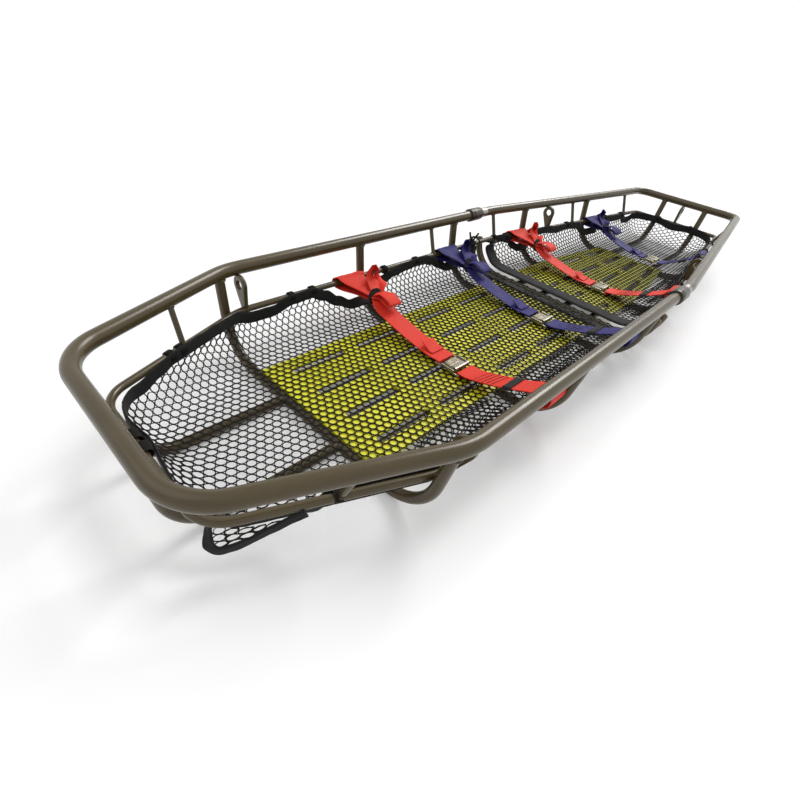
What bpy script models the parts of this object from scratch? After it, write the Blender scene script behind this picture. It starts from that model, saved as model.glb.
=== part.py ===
"""Split basket stretcher: a tubular steel litter in two halves that plug together at two
locking collars, with slotted bed sheets, a net liner and four webbing straps.

Metres, +Z up. X runs from the head end (-X) to the foot end (+X), and the origin is on the
ground under the middle of the stretcher. A station is a distance along X from the centre line
of the head end's top rail.
"""

import math

import bmesh
import bpy
from mathutils import Matrix, Vector

# Top rail, along its centre line
LENGTH = 2.100
HALF_WIDTH = 0.289
HEAD_HALF_WIDTH = 0.159
FOOT_HALF_WIDTH = 0.180
SHOULDER_STATION = 0.311
TAPER_STATION = 1.175
RAIL_RADIUS = 0.0127
HEAD_BEND = 0.085
SHOULDER_BEND = 0.150
TAPER_BEND = 0.150
FOOT_BEND = 0.045

# Ribs, mid rail and rods
RIB_RADIUS = 0.0095
RIB_BEND = 0.092
RIB_TOP_INSET = 0.001
RIB_LEAN = 0.156
FLOOR_DROP = 0.1555
HEAD_RIBS = (0.295, 0.652, 1.005)
FOOT_RIBS = (1.350, 1.706)
END_HOOP_Y = 0.075
MID_RADIUS = 0.0065
MID_DROP = 0.073
ROD_RADIUS = 0.005
HEAD_RODS = (0.180, 0.906)
FOOT_RODS = (1.615, LENGTH - 0.126)
STRINGER_RADIUS = 0.0088
STRINGER_DROP = 0.0004
STRINGER_LINES = (0.0387, 0.117)

# Joint between the halves
SPLIT_STATION = 1.112
MID_RAIL_BREAK = 0.008
HEAD_HOOP_SETBACK = 0.014
FOOT_HOOP_SETBACK = 0.030
SPLIT_ROD_STATION = 1.193
SPIGOT_RADIUS = 0.0095
SPIGOT_REACH = 0.070
SPIGOT_CHAMFER = 0.004
BORE_CLEARANCE = 0.0004
BORE_SPARE = 0.006
COLLAR_RADIUS = 0.0170
COLLAR_BACK = 0.040
COLLAR_FRONT = 0.014
COLLAR_CONE = 0.008
COLLAR_NOSE_WALL = 0.0016
COLLAR_RIM = 0.003
COLLAR_GROOVE = 0.0012
COLLAR_GROOVE_SETBACK = 0.010
COLLAR_RUNNING = 0.00035

# Lifting lugs
LUG_THICKNESS = 0.008
LUG_RADIUS = 0.0185
LUG_HOLE_RADIUS = 0.009
LUG_INWARD = 0.017
LUG_DOWN = 0.026
LUG_FOOT_RADIUS = 0.0060
HEAD_LUG_STATION = 0.333
FOOT_LUG_STATION = 1.464

# Bed sheets
SHEET_THICKNESS = 0.005
SHEET_HALF_WIDTH = 0.155
SHEET_SIDE_MARGIN = 0.008
SHEET_END_GAP = 0.002
SLOT_WIDTH = 0.018
SLOT_BRIDGE = 0.032
SLOT_START_MARGIN = 0.046
SLOT_END_MARGIN = 0.018
SLOT_END_SHARE = 0.2

# Net liner
NET_THICKNESS = 0.0025
NET_PITCH = 0.060
NET_CORD = 0.005
NET_BINDING = 0.020
NET_HEM = 0.012
NET_SAG = 0.018
NET_HEAD_SETBACK = 0.027
NET_FOOT_SETBACK = 0.015
NET_DIP = 0.020
NET_DIP_HALF_LENGTH = 0.036
NET_DIP_REACH = 1.4
HEAD_TRIM_SHARE = 0.72
SHOULDER_TRIM_SHARE = 0.24

# Straps and buckles
STRAP_WIDTH = 0.050
STRAP_THICKNESS = 0.0025
STRAP_RIB_OFFSET = 0.036
STRAP_RING_SLACK = 0.0006
STRAP_BODY_GAP = 0.0012
STRAP_STEPS = 8
STRAP_SAG_POWER = 1.7
STRAP_LEAVES_Y = 0.75
STRAP_LEAVES_Z = 0.45
STRAP_MEETS_Y = 0.8
BUCKLE_Y = -0.060
BUCKLE_LENGTH = 0.062
BUCKLE_WIDTH = 0.056
BUCKLE_THICKNESS = 0.004
BUCKLE_BAR = 0.005
BUCKLE_SLOT = 0.010
LEVER_LENGTH = 0.030
LEVER_WIDTH = 0.034
LEVER_THICKNESS = 0.003
LEVER_BARREL = 0.0032
LEVER_PIN = 0.0016
EAR_THICKNESS = 0.004
EAR_MARGIN = 0.0008
BORE_OVERRUN = 1.2

# Gaps between touching pieces
CLEAR = 0.0003
WELD_SINK = 0.0005

# How finely round shapes are cut, in sides or in degrees
RAIL_BEND_STEP = 11.0
RIB_BEND_STEP = 15.0
SMOOTH_BELOW = 35
RAIL_RESOLUTION = 4
TUBE_RESOLUTION = 3
ROD_RESOLUTION = 2
SPIGOT_RESOLUTION = 6
COLLAR_STEPS = 24
PIN_SIDES = 12
BORE_SIDES = 16
LOOP_SIDES = 14
LOOP_HOLE_SIDES = 12

RAIL_HEIGHT = FLOOR_DROP + RIB_RADIUS
MID_HEIGHT = RAIL_HEIGHT - MID_DROP
RIB_TOP = 2 * RIB_RADIUS
MID_INSET = RIB_TOP_INSET + RIB_LEAN * MID_DROP + RIB_RADIUS + MID_RADIUS - WELD_SINK
SHEET_BOTTOM = RIB_TOP + CLEAR
SHEET_TOP = SHEET_BOTTOM + SHEET_THICKNESS
NET_LEVEL = SHEET_TOP + CLEAR + NET_THICKNESS / 2
NET_TOP = NET_LEVEL + NET_THICKNESS / 2
FLOOR_CORNER_INSET = RIB_TOP_INSET + RIB_LEAN * FLOOR_DROP
FLOOR_INSET = FLOOR_CORNER_INSET + RIB_BEND * math.tan((math.pi / 2 - math.atan(RIB_LEAN)) / 2)

HEAD_HOOP_STATION = SPLIT_STATION - HEAD_HOOP_SETBACK
FOOT_HOOP_STATION = SPLIT_STATION + FOOT_HOOP_SETBACK
NET_HEAD_END = SPLIT_STATION - NET_HEAD_SETBACK
NET_FOOT_START = SPLIT_ROD_STATION - NET_FOOT_SETBACK

SIDES = (("left", 1), ("right", -1))

OLIVE = ("frame_powder_coat", (0.092, 0.078, 0.058), 0.38, 0.35)
COLLAR_GREY = ("collar_metal", (0.12, 0.12, 0.11), 0.35, 0.7)
YELLOW = ("bed_sheet_yellow", (0.68, 0.75, 0.02), 0.45, 0.0)
BLACK = ("net_black", (0.010, 0.010, 0.010), 0.8, 0.0)
RED = ("strap_red", (0.78, 0.045, 0.022), 0.7, 0.0)
BLUE = ("strap_blue", (0.035, 0.025, 0.24), 0.7, 0.0)
STEEL = ("buckle_steel", (0.36, 0.34, 0.30), 0.3, 0.95)


def clear_scene():
    for old in list(bpy.data.objects):
        bpy.data.objects.remove(old, do_unlink=True)


def new_collection(name):
    collection = bpy.data.collections.new(name)
    bpy.context.scene.collection.children.link(collection)
    return collection


def material(finish):
    name, colour, roughness, metallic = finish
    found = bpy.data.materials.get(name)
    if found:
        return found
    made = bpy.data.materials.new(name)
    made.use_nodes = True
    shader = made.node_tree.nodes["Principled BSDF"]
    shader.inputs["Base Color"].default_value = (*colour, 1.0)
    shader.inputs["Roughness"].default_value = roughness
    shader.inputs["Metallic"].default_value = metallic
    made.diffuse_color = (*colour, 1.0)
    return made


def add_part(name, mesh, finish, smooth=True):
    """One named sub-part in the stretcher's collection."""
    part = bpy.data.objects.new(name, mesh)
    PARTS.objects.link(part)
    mesh.materials.clear()
    mesh.materials.append(material(finish))
    if smooth:
        mesh.shade_smooth()
        mesh.set_sharp_from_angle(angle=math.radians(SMOOTH_BELOW))
    return part


def add_cutter(name, mesh):
    cutter = bpy.data.objects.new(name, mesh)
    CUTTERS.objects.link(cutter)
    cutter.hide_render = True
    cutter.display_type = "WIRE"
    return cutter


def boolean(part, other, operation, solver="EXACT"):
    step = part.modifiers.new(f"{operation.lower()} {other.name}", "BOOLEAN")
    step.operation = operation
    step.solver = solver
    step.object = other


def curve_mesh(name, curve):
    """The mesh of a curve, with its caps welded on and its faces turned outwards."""
    holder = bpy.data.objects.new(f"{name}_curve", curve)
    bpy.context.scene.collection.objects.link(holder)
    bpy.context.view_layer.update()
    evaluated = holder.evaluated_get(bpy.context.evaluated_depsgraph_get())
    mesh = bpy.data.meshes.new_from_object(evaluated)
    bpy.data.objects.remove(holder, do_unlink=True)
    body = bmesh.new()
    body.from_mesh(mesh)
    bmesh.ops.remove_doubles(body, verts=body.verts, dist=0.00001)
    bmesh.ops.recalc_face_normals(body, faces=body.faces)
    body.to_mesh(mesh)
    body.free()
    mesh.name = name
    return mesh


def tube_mesh(name, points, radius, resolution=TUBE_RESOLUTION, shares=None):
    """A round bar along a path of straight runs, closed at both ends.

    The shares give each point's part of the radius, on a bar that tapers."""
    curve = bpy.data.curves.new(name, "CURVE")
    curve.dimensions = "3D"
    curve.twist_mode = "Z_UP"
    curve.bevel_depth = radius
    curve.bevel_resolution = resolution
    curve.use_fill_caps = True
    spline = curve.splines.new("POLY")
    spline.points.add(len(points) - 1)
    for target, point, share in zip(spline.points, points, shares or [1.0] * len(points)):
        target.co = (*point, 1.0)
        target.radius = share
    return curve_mesh(name, curve)


def plate_mesh(name, outlines, thickness):
    """A flat plate in XY: the first outline is its edge and the others are holes."""
    curve = bpy.data.curves.new(name, "CURVE")
    curve.dimensions = "2D"
    curve.fill_mode = "BOTH"
    curve.extrude = thickness / 2
    for outline in outlines:
        spline = curve.splines.new("POLY")
        spline.points.add(len(outline) - 1)
        for target, (x, y) in zip(spline.points, outline):
            target.co = (x, y, 0.0, 1.0)
        spline.use_cyclic_u = True
    return curve_mesh(name, curve)


def box_mesh(name, low, high):
    body = bmesh.new()
    bmesh.ops.create_cube(body, size=1.0)
    size = Vector(high) - Vector(low)
    centre = (Vector(high) + Vector(low)) / 2
    bmesh.ops.scale(body, vec=size, verts=body.verts)
    bmesh.ops.translate(body, vec=centre, verts=body.verts)
    mesh = bpy.data.meshes.new(name)
    body.to_mesh(mesh)
    body.free()
    return mesh


def rod_mesh(name, radius, start, end, sides=PIN_SIDES):
    """A cylinder from one point to another."""
    start, end = Vector(start), Vector(end)
    run = end - start
    turn = Vector((0, 0, 1)).rotation_difference(run).to_matrix().to_4x4()
    body = bmesh.new()
    bmesh.ops.create_cone(
        body, cap_ends=True, segments=sides, radius1=radius, radius2=radius,
        depth=run.length, matrix=Matrix.Translation((start + end) / 2) @ turn,
    )
    mesh = bpy.data.meshes.new(name)
    body.to_mesh(mesh)
    body.free()
    return mesh


def bent_path(corners, radii, degrees_per_step=RAIL_BEND_STEP):
    """The corners joined by straight runs, each inner corner rounded to its radius."""
    path = [Vector(corners[0])]
    for before, corner, after, radius in zip(corners, corners[1:], corners[2:], radii):
        before, corner, after = Vector(before), Vector(corner), Vector(after)
        back, ahead = (before - corner).normalized(), (after - corner).normalized()
        turn = math.pi - back.angle(ahead)
        reach = radius * math.tan(turn / 2)
        middle = (back + ahead).normalized()
        centre = corner + middle * (radius / math.cos(turn / 2))
        first = corner + back * reach - centre
        last = corner + ahead * reach - centre
        steps = max(2, math.ceil(math.degrees(turn) / degrees_per_step))
        for k in range(steps + 1):
            share = k / steps
            weight_first = math.sin((1 - share) * turn) / math.sin(turn)
            weight_last = math.sin(share * turn) / math.sin(turn)
            path.append(centre + first * weight_first + last * weight_last)
    path.append(Vector(corners[-1]))
    return path


def circle(centre_x, centre_y, radius, count, start=0.0, sweep=2 * math.pi):
    closed = math.isclose(abs(sweep), 2 * math.pi)
    steps = count if closed else count - 1
    return [
        (centre_x + radius * math.cos(start + sweep * k / steps),
         centre_y + radius * math.sin(start + sweep * k / steps))
        for k in range(count)
    ]


def x_at(station):
    return station - LENGTH / 2


def inset_corners(inset):
    """Corners of the plan outline's left side, moved in from the top rail's centre line."""
    shoulder = math.atan2(HALF_WIDTH - HEAD_HALF_WIDTH, SHOULDER_STATION)
    taper = math.atan2(HALF_WIDTH - FOOT_HALF_WIDTH, LENGTH - TAPER_STATION)
    side = HALF_WIDTH - inset
    shoulder_drop = inset / math.cos(shoulder)
    taper_drop = inset / math.cos(taper)
    head_y = HEAD_HALF_WIDTH + inset * math.tan(shoulder) - shoulder_drop
    foot_y = FOOT_HALF_WIDTH + inset * math.tan(taper) - taper_drop
    b_station = SHOULDER_STATION + (shoulder_drop - inset) / math.tan(shoulder)
    c_station = TAPER_STATION - (taper_drop - inset) / math.tan(taper)
    return ((inset, head_y), (b_station, side), (c_station, side), (LENGTH - inset, foot_y))


def width_at(station, inset=0.0):
    """Half width of the plan outline at a station."""
    corners = inset_corners(inset)
    for (s0, y0), (s1, y1) in zip(corners, corners[1:]):
        if station <= s1:
            return y0 + (y1 - y0) * (station - s0) / (s1 - s0)
    return corners[-1][1]


def head_loop(inset, height, station):
    """Path round the head end, from the left side to the right, open at the station."""
    head, shoulder = inset_corners(inset)[:2]
    corners = [(x_at(station), shoulder[1], height)]
    corners += [(x_at(s), y, height) for s, y in (shoulder, head)]
    corners += [(x, -y, z) for x, y, z in reversed(corners)]
    bends = [SHOULDER_BEND - inset, HEAD_BEND - inset]
    return bent_path(corners, bends + bends[::-1])


def foot_loop(inset, height, station):
    """Path round the foot end, from the left side to the right, open at the station."""
    taper, foot = inset_corners(inset)[2:]
    corners = [(x_at(station), taper[1], height)]
    corners += [(x_at(s), y, height) for s, y in (taper, foot)]
    corners += [(x, -y, z) for x, y, z in reversed(corners)]
    bends = [TAPER_BEND, FOOT_BEND - inset]
    return bent_path(corners, bends + bends[::-1])


def loop_y(loop, station):
    """Half width of a rail's own centre line at a station, on a bend too."""
    x = x_at(station)
    for start, end in zip(loop, loop[1:]):
        if min(start.x, end.x) <= x <= max(start.x, end.x) and start.x != end.x:
            return start.y + (end.y - start.y) * (x - start.x) / (end.x - start.x)
    raise ValueError(f"no rail at station {station}")


def rib_inset(height):
    """How far a rib's leaning side lies inside the top rail's centre line."""
    return RIB_TOP_INSET + RIB_LEAN * (RAIL_HEIGHT - height)


def hoop_path(station, top):
    """A rib: down one side, across the floor and up the other side."""
    x, edge = x_at(station), width_at(station)
    high, low = edge - rib_inset(top), edge - FLOOR_CORNER_INSET
    corners = [(x, high, top), (x, low, RIB_RADIUS), (x, -low, RIB_RADIUS), (x, -high, top)]
    return bent_path(corners, (RIB_BEND, RIB_BEND), RIB_BEND_STEP)


def make_rails():
    """Top rails and mid rails of both halves, and the cutters that cope what meets them."""
    rail_paths = {
        "head": head_loop(0.0, RAIL_HEIGHT, SPLIT_STATION - CLEAR),
        "foot": foot_loop(0.0, RAIL_HEIGHT, SPLIT_STATION),
    }
    mid_paths = {
        "head": head_loop(MID_INSET, MID_HEIGHT, SPLIT_STATION - MID_RAIL_BREAK / 2),
        "foot": foot_loop(MID_INSET, MID_HEIGHT, SPLIT_STATION + MID_RAIL_BREAK / 2),
    }
    rails, mid_rails, rail_cutters, mid_cutters = {}, {}, {}, {}
    for half in ("head", "foot"):
        mesh = tube_mesh(f"top_rail_{half}", rail_paths[half], RAIL_RADIUS, RAIL_RESOLUTION)
        rails[half] = add_part(f"top_rail_{half}", mesh, OLIVE)
        cutter = tube_mesh(f"top_rail_{half}_cutter", rail_paths[half], RAIL_RADIUS + CLEAR,
                           RAIL_RESOLUTION)
        rail_cutters[half] = add_cutter(f"top_rail_{half}_cutter", cutter)
        mesh = tube_mesh(f"mid_rail_{half}", mid_paths[half], MID_RADIUS)
        mid_rails[half] = add_part(f"mid_rail_{half}", mesh, OLIVE)
        cutter = tube_mesh(f"mid_rail_{half}_cutter", mid_paths[half], MID_RADIUS + CLEAR)
        mid_cutters[half] = add_cutter(f"mid_rail_{half}_cutter", cutter)
    return rails, mid_rails, rail_cutters, mid_cutters


def make_couplings(rails):
    """Spigots on the head half's rail ends, bores in the foot half's, and the collars."""
    split_x = x_at(SPLIT_STATION)
    for side, sign in SIDES:
        y = sign * HALF_WIDTH
        root = (split_x - SPIGOT_REACH / 2, y, RAIL_HEIGHT)
        shoulder = (split_x + SPIGOT_REACH - SPIGOT_CHAMFER, y, RAIL_HEIGHT)
        tip = (split_x + SPIGOT_REACH, y, RAIL_HEIGHT)
        nose_share = 1.0 - SPIGOT_CHAMFER / SPIGOT_RADIUS
        spigot = tube_mesh("spigot", (root, shoulder, tip), SPIGOT_RADIUS, SPIGOT_RESOLUTION,
                           (1.0, 1.0, nose_share))
        boolean(rails["head"], add_cutter(f"spigot_{side}", spigot), "UNION")
        mouth = (split_x - BORE_SPARE, y, RAIL_HEIGHT)
        bottom = (split_x + SPIGOT_REACH + BORE_SPARE, y, RAIL_HEIGHT)
        bore = rod_mesh("bore", SPIGOT_RADIUS + BORE_CLEARANCE, mouth, bottom, BORE_SIDES)
        boolean(rails["foot"], add_cutter(f"bore_{side}", bore), "DIFFERENCE")
        make_collar(f"lock_collar_{side}", (split_x, y, RAIL_HEIGHT))


def make_collar(name, centre):
    """A turned sleeve that draws the two rail ends together, on the rail's axis."""
    bore = RAIL_RADIUS + COLLAR_RUNNING
    nose = bore + COLLAR_NOSE_WALL
    groove = COLLAR_RADIUS - COLLAR_GROOVE
    groove_low = COLLAR_GROOVE_SETBACK - COLLAR_BACK
    groove_high = groove_low + COLLAR_RIM
    profile = [
        (bore, COLLAR_FRONT), (nose, COLLAR_FRONT), (COLLAR_RADIUS, COLLAR_FRONT - COLLAR_CONE),
        (COLLAR_RADIUS, groove_high), (groove, groove_high), (groove, groove_low),
        (COLLAR_RADIUS, groove_low), (COLLAR_RADIUS, COLLAR_GROOVE - COLLAR_BACK),
        (groove, -COLLAR_BACK), (bore, -COLLAR_BACK),
    ]
    mesh = bpy.data.meshes.new(name)
    edges = [(k, (k + 1) % len(profile)) for k in range(len(profile))]
    mesh.from_pydata([(r, 0.0, z) for r, z in profile], edges, [])
    collar = bpy.data.objects.new(name, mesh)
    PARTS.objects.link(collar)
    mesh.materials.append(material(COLLAR_GREY))
    collar.location = centre
    collar.rotation_euler = (0.0, math.pi / 2, 0.0)
    turn = collar.modifiers.new("turn", "SCREW")
    turn.steps = turn.render_steps = COLLAR_STEPS
    turn.use_merge_vertices = True
    turn.merge_threshold = 0.0001
    turn.use_normal_calculate = True
    return collar


def stringer_y(station, line):
    return line * sheet_half_width(station) / SHEET_HALF_WIDTH


def sheet_half_width(station):
    return min(SHEET_HALF_WIDTH, width_at(station) - FLOOR_INSET - SHEET_SIDE_MARGIN)


def make_rib(name, station, top, rail_cutter, mid_cutter, next_station=None, next_top=None):
    """A hoop under the rails, with the four stringers that run on to the next hoop."""
    rib = add_part(name, tube_mesh(name, hoop_path(station, top), RIB_RADIUS), OLIVE)
    if next_station:
        next_hoop = tube_mesh(f"{name}_cope", hoop_path(next_station, next_top), RIB_RADIUS + CLEAR)
        cope = add_cutter(f"{name}_cope", next_hoop)
        for line in STRINGER_LINES:
            for side, sign in SIDES:
                ends = [
                    (x_at(s), sign * stringer_y(s, line), RIB_RADIUS - STRINGER_DROP)
                    for s in (station, next_station)
                ]
                label = f"{name}_stringer_{side}_{line * 1000:.0f}"
                stringer = add_cutter(label, tube_mesh(label, ends, STRINGER_RADIUS, ROD_RESOLUTION))
                boolean(stringer, cope, "DIFFERENCE")
                boolean(rib, stringer, "UNION")
    if rail_cutter:
        boolean(rib, rail_cutter, "DIFFERENCE", "MANIFOLD")
    boolean(rib, mid_cutter, "DIFFERENCE", "MANIFOLD")


def make_ribs(rail_cutters, mid_cutters):
    """The ribs of both halves, and the short hoops either side of the split."""
    plans = (
        ("head", (*HEAD_RIBS, HEAD_HOOP_STATION),
         ("rib_head_1", "rib_head_2", "rib_head_3", "split_hoop_head")),
        ("foot", (FOOT_HOOP_STATION, *FOOT_RIBS),
         ("split_hoop_foot", "rib_foot_1", "rib_foot_2")),
    )
    for half, stations, names in plans:
        tops = [MID_HEIGHT + MID_RADIUS if "split" in name else RAIL_HEIGHT for name in names]
        for k, name in enumerate(names):
            ahead = (stations[k + 1], tops[k + 1]) if k + 1 < len(names) else (None, None)
            rail_cutter = rail_cutters[half] if tops[k] == RAIL_HEIGHT else None
            make_rib(name, stations[k], tops[k], rail_cutter, mid_cutters[half], *ahead)


def make_end_hoops(rail_cutters, mid_cutters):
    """Two hoops at each end, from the end rail down and along the floor to the nearest rib."""
    high, low = RIB_TOP_INSET, FLOOR_CORNER_INSET
    plans = (
        ("head", high, low, HEAD_RIBS[0]),
        ("foot", LENGTH - high, LENGTH - low, FOOT_RIBS[-1]),
    )
    for half, start, corner, rib_station in plans:
        cope_mesh = tube_mesh("end_cope", hoop_path(rib_station, RAIL_HEIGHT), RIB_RADIUS + CLEAR)
        cope = add_cutter(f"end_cope_{half}", cope_mesh)
        for side, sign in SIDES:
            y = sign * END_HOOP_Y
            corners = [(x_at(start), y, RAIL_HEIGHT), (x_at(corner), y, RIB_RADIUS),
                       (x_at(rib_station), y, RIB_RADIUS)]
            name = f"end_hoop_{half}_{side}"
            mesh = tube_mesh(name, bent_path(corners, (RIB_BEND,), RIB_BEND_STEP), RIB_RADIUS)
            hoop = add_part(name, mesh, OLIVE)
            boolean(hoop, rail_cutters[half], "DIFFERENCE")
            boolean(hoop, mid_cutters[half], "DIFFERENCE")
            boolean(hoop, cope, "DIFFERENCE")


def rod_ends(station, sign):
    """Where a thin rod meets the centre lines of the top rail and of the mid rail."""
    x = x_at(station)
    return [(x, sign * width_at(station), RAIL_HEIGHT),
            (x, sign * width_at(station, MID_INSET), MID_HEIGHT)]


def make_rods(mid_rails, rail_cutters, mid_cutters):
    """Thin rods that tie the mid rail to the top rail between the ribs."""
    for half, stations in (("head", HEAD_RODS), ("foot", FOOT_RODS)):
        for number, station in enumerate(stations, 1):
            for side, sign in SIDES:
                name = f"rod_{half}_{number}_{side}"
                mesh = tube_mesh(name, rod_ends(station, sign), ROD_RADIUS, ROD_RESOLUTION)
                rod = add_part(name, mesh, OLIVE)
                boolean(rod, rail_cutters[half], "DIFFERENCE")
                boolean(rod, mid_cutters[half], "DIFFERENCE")
    for side, sign in SIDES:
        name = f"split_rod_{side}"
        mesh = tube_mesh(name, rod_ends(SPLIT_ROD_STATION, sign), ROD_RADIUS, ROD_RESOLUTION)
        rod = add_cutter(name, mesh)
        boolean(rod, rail_cutters["foot"], "DIFFERENCE")
        boolean(mid_rails["foot"], rod, "UNION")


def lug_outline():
    """A drop-shaped plate: u runs inward from the rail's centre and v runs up from it."""
    foot_u, foot_v = MID_INSET, -MID_DROP
    dx, dy = foot_u - LUG_INWARD, foot_v + LUG_DOWN
    span = math.hypot(dx, dy)
    along = math.atan2(dy, dx)
    open_angle = math.acos((LUG_RADIUS - LUG_FOOT_RADIUS) / span)
    sweep = 2 * math.pi - 2 * open_angle
    head = circle(LUG_INWARD, -LUG_DOWN, LUG_RADIUS, 15, along + open_angle, sweep)
    foot = circle(foot_u, foot_v, LUG_FOOT_RADIUS, 5, along - open_angle, 2 * open_angle)
    return head + foot


def make_lug(name, matrix, rail_cutter, mid_cutter):
    hole = circle(LUG_INWARD, -LUG_DOWN, LUG_HOLE_RADIUS, 16)
    mesh = plate_mesh(name, [lug_outline(), hole], LUG_THICKNESS)
    mesh.transform(matrix)
    if matrix.determinant() < 0:
        mesh.flip_normals()
    lug = add_part(name, mesh, OLIVE)
    boolean(lug, rail_cutter, "DIFFERENCE")
    boolean(lug, mid_cutter, "DIFFERENCE")


def make_lugs(rail_cutters, mid_cutters):
    """Lifting plates square to the rail, with a hole for a hook."""
    loops = {
        "head": head_loop(0.0, RAIL_HEIGHT, SPLIT_STATION),
        "foot": foot_loop(0.0, RAIL_HEIGHT, SPLIT_STATION),
    }
    for half, station in (("head", HEAD_LUG_STATION), ("foot", FOOT_LUG_STATION)):
        for side, sign in SIDES:
            centre = (x_at(station), sign * loop_y(loops[half], station), RAIL_HEIGHT)
            inward, up, across = (0, -sign, 0), (0, 0, 1), (-sign, 0, 0)
            make_lug(f"lift_lug_{half}_{side}", frame_matrix(inward, up, across, centre),
                     rail_cutters[half], mid_cutters[half])
    centre = (x_at(LENGTH), 0.0, RAIL_HEIGHT)
    make_lug("lift_lug_foot_end", frame_matrix((-1, 0, 0), (0, 0, 1), (0, 1, 0), centre),
             rail_cutters["foot"], mid_cutters["foot"])


def frame_matrix(u, v, w, origin):
    """The placement whose local X, Y and Z point along u, v and w."""
    matrix = Matrix((u, v, w)).transposed().to_4x4()
    matrix.translation = Vector(origin)
    return matrix


def slot_outline(start, end, width):
    """A slot with round ends from one centre to the other."""
    along = math.atan2(end[1] - start[1], end[0] - start[0])
    first = circle(*start, width / 2, 6, along + math.pi / 2, math.pi)
    return first + circle(*end, width / 2, 6, along - math.pi / 2, math.pi)


def make_sheet(name, start, end, last_rib=None):
    """A bed sheet that lies on the ribs and stringers, slotted as far as the last rib."""
    low, high = start + SHEET_END_GAP, end - SHEET_END_GAP
    edge = [(x_at(s), sign * sheet_half_width(s)) for s, sign in
            ((low, -1), (high, -1), (high, 1), (low, 1))]
    outlines = [edge]
    bay = (last_rib or end) - start
    first = start + min(SLOT_START_MARGIN, SLOT_END_SHARE * bay)
    last = start + bay - SLOT_END_MARGIN
    middle = (first + last) / 2
    runs = [(first, middle - SLOT_BRIDGE / 2), (middle + SLOT_BRIDGE / 2, last)]
    for line in STRINGER_LINES:
        for _, sign in SIDES:
            for s0, s1 in runs:
                ends = (s0 + SLOT_WIDTH / 2, s1 - SLOT_WIDTH / 2)
                centres = [(x_at(s), sign * stringer_y(s, line)) for s in ends]
                outlines.append(slot_outline(*centres, SLOT_WIDTH))
    mesh = plate_mesh(name, outlines, SHEET_THICKNESS)
    mesh.transform(Matrix.Translation((0, 0, SHEET_BOTTOM + SHEET_THICKNESS / 2)))
    add_part(name, mesh, YELLOW, smooth=False)


def make_sheets():
    make_sheet("bed_sheet_head_1", HEAD_RIBS[0], HEAD_RIBS[1])
    make_sheet("bed_sheet_head_2", HEAD_RIBS[1], HEAD_HOOP_STATION, HEAD_RIBS[2])
    make_sheet("bed_sheet_foot_1", NET_FOOT_START, FOOT_RIBS[0])
    make_sheet("bed_sheet_foot_2", FOOT_RIBS[0], FOOT_RIBS[1])


def edge_distance(point, outline):
    """Distance from a point to an outline, negative outside it."""
    px, py = point
    nearest = math.inf
    inside = False
    for (x0, y0), (x1, y1) in zip(outline, outline[1:] + outline[:1]):
        dx, dy = x1 - x0, y1 - y0
        share = max(0.0, min(1.0, ((px - x0) * dx + (py - y0) * dy) / (dx * dx + dy * dy)))
        nearest = min(nearest, math.hypot(px - x0 - share * dx, py - y0 - share * dy))
        if (y0 > py) != (y1 > py) and px < x0 + (py - y0) * dx / dy:
            inside = not inside
    return nearest if inside else -nearest


def net_holes(outline, offset):
    """Six-sided gaps on a honeycomb, wherever a whole one fits inside the hem."""
    radius = (NET_PITCH - NET_CORD) / math.sqrt(3)
    xs = [x for x, _ in outline]
    ys = [y for _, y in outline]
    row_step = NET_PITCH * math.sqrt(3) / 2
    rows = math.ceil((max(ys) - min(ys)) / row_step)
    columns = math.ceil((max(xs) - min(xs)) / NET_PITCH)
    holes = []
    for row in range(rows + 1):
        for column in range(columns + 2):
            x = min(xs) + (column + (row % 2) / 2) * NET_PITCH
            y = min(ys) + offset + row * row_step
            if edge_distance((x, y), outline) > radius + NET_HEM / 2:
                holes.append(circle(x, y, radius, 6, math.pi / 2))
    return holes


def make_net_panel(name, outline, matrix, offset, sag):
    """One flat field of net, bellied by its sag between its lower and its upper edge."""
    height = max(y for _, y in outline)
    mesh = plate_mesh(name, [outline] + net_holes(outline, offset), NET_THICKNESS)
    for vertex in mesh.vertices:
        share = min(1.0, max(0.0, vertex.co.y / height)) if sag else 0.0
        vertex.co.z += 4 * sag * share * (1 - share)
    mesh.transform(matrix)
    add_part(name, mesh, BLACK, smooth=False)


def net_top_line():
    """Where the net's bound edge meets the mid rail, coming up from the floor's edge."""
    reach = MID_RADIUS + CLEAR
    tilt = math.atan2(MID_HEIGHT - NET_LEVEL, FLOOR_INSET - MID_INSET)
    return MID_INSET + reach * math.cos(tilt), MID_HEIGHT - reach * math.sin(tilt)


def make_net_wall(name, low_ends, high_ends, dips=()):
    """A net wall from the floor's edge up to the mid rail, with a dip for each strap."""
    low_a, low_b = (Vector(p) for p in low_ends)
    high_a, high_b = (Vector(p) for p in high_ends)
    along = (low_b - low_a).normalized()
    rise = high_a - low_a
    rise = (rise - along * rise.dot(along)).normalized()
    across = along.cross(rise)
    origin = low_a + rise * NET_THICKNESS
    shrink = NET_THICKNESS / 2
    top_a, top_b = high_a - origin, high_b - origin
    top = top_b.dot(rise)
    outline = [(shrink, 0.0), ((low_b - low_a).dot(along) - shrink, 0.0)]
    outline.append((top_b.dot(along) - shrink, top))
    dip_corners = ((NET_DIP_REACH, 0.0), (1.0, NET_DIP), (-1.0, NET_DIP), (-NET_DIP_REACH, 0.0))
    for station in sorted(dips, reverse=along.x > 0):
        u = (x_at(station) - origin.x) / along.x
        outline += [(u + NET_DIP_HALF_LENGTH * shift, top - drop) for shift, drop in dip_corners]
    outline.append((top_a.dot(along) + shrink, top_a.dot(rise)))
    middle = (top - NET_BINDING + NET_HEM) / 2
    make_net_panel(name, outline, frame_matrix(along, rise, across, origin), middle, NET_SAG)


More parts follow.
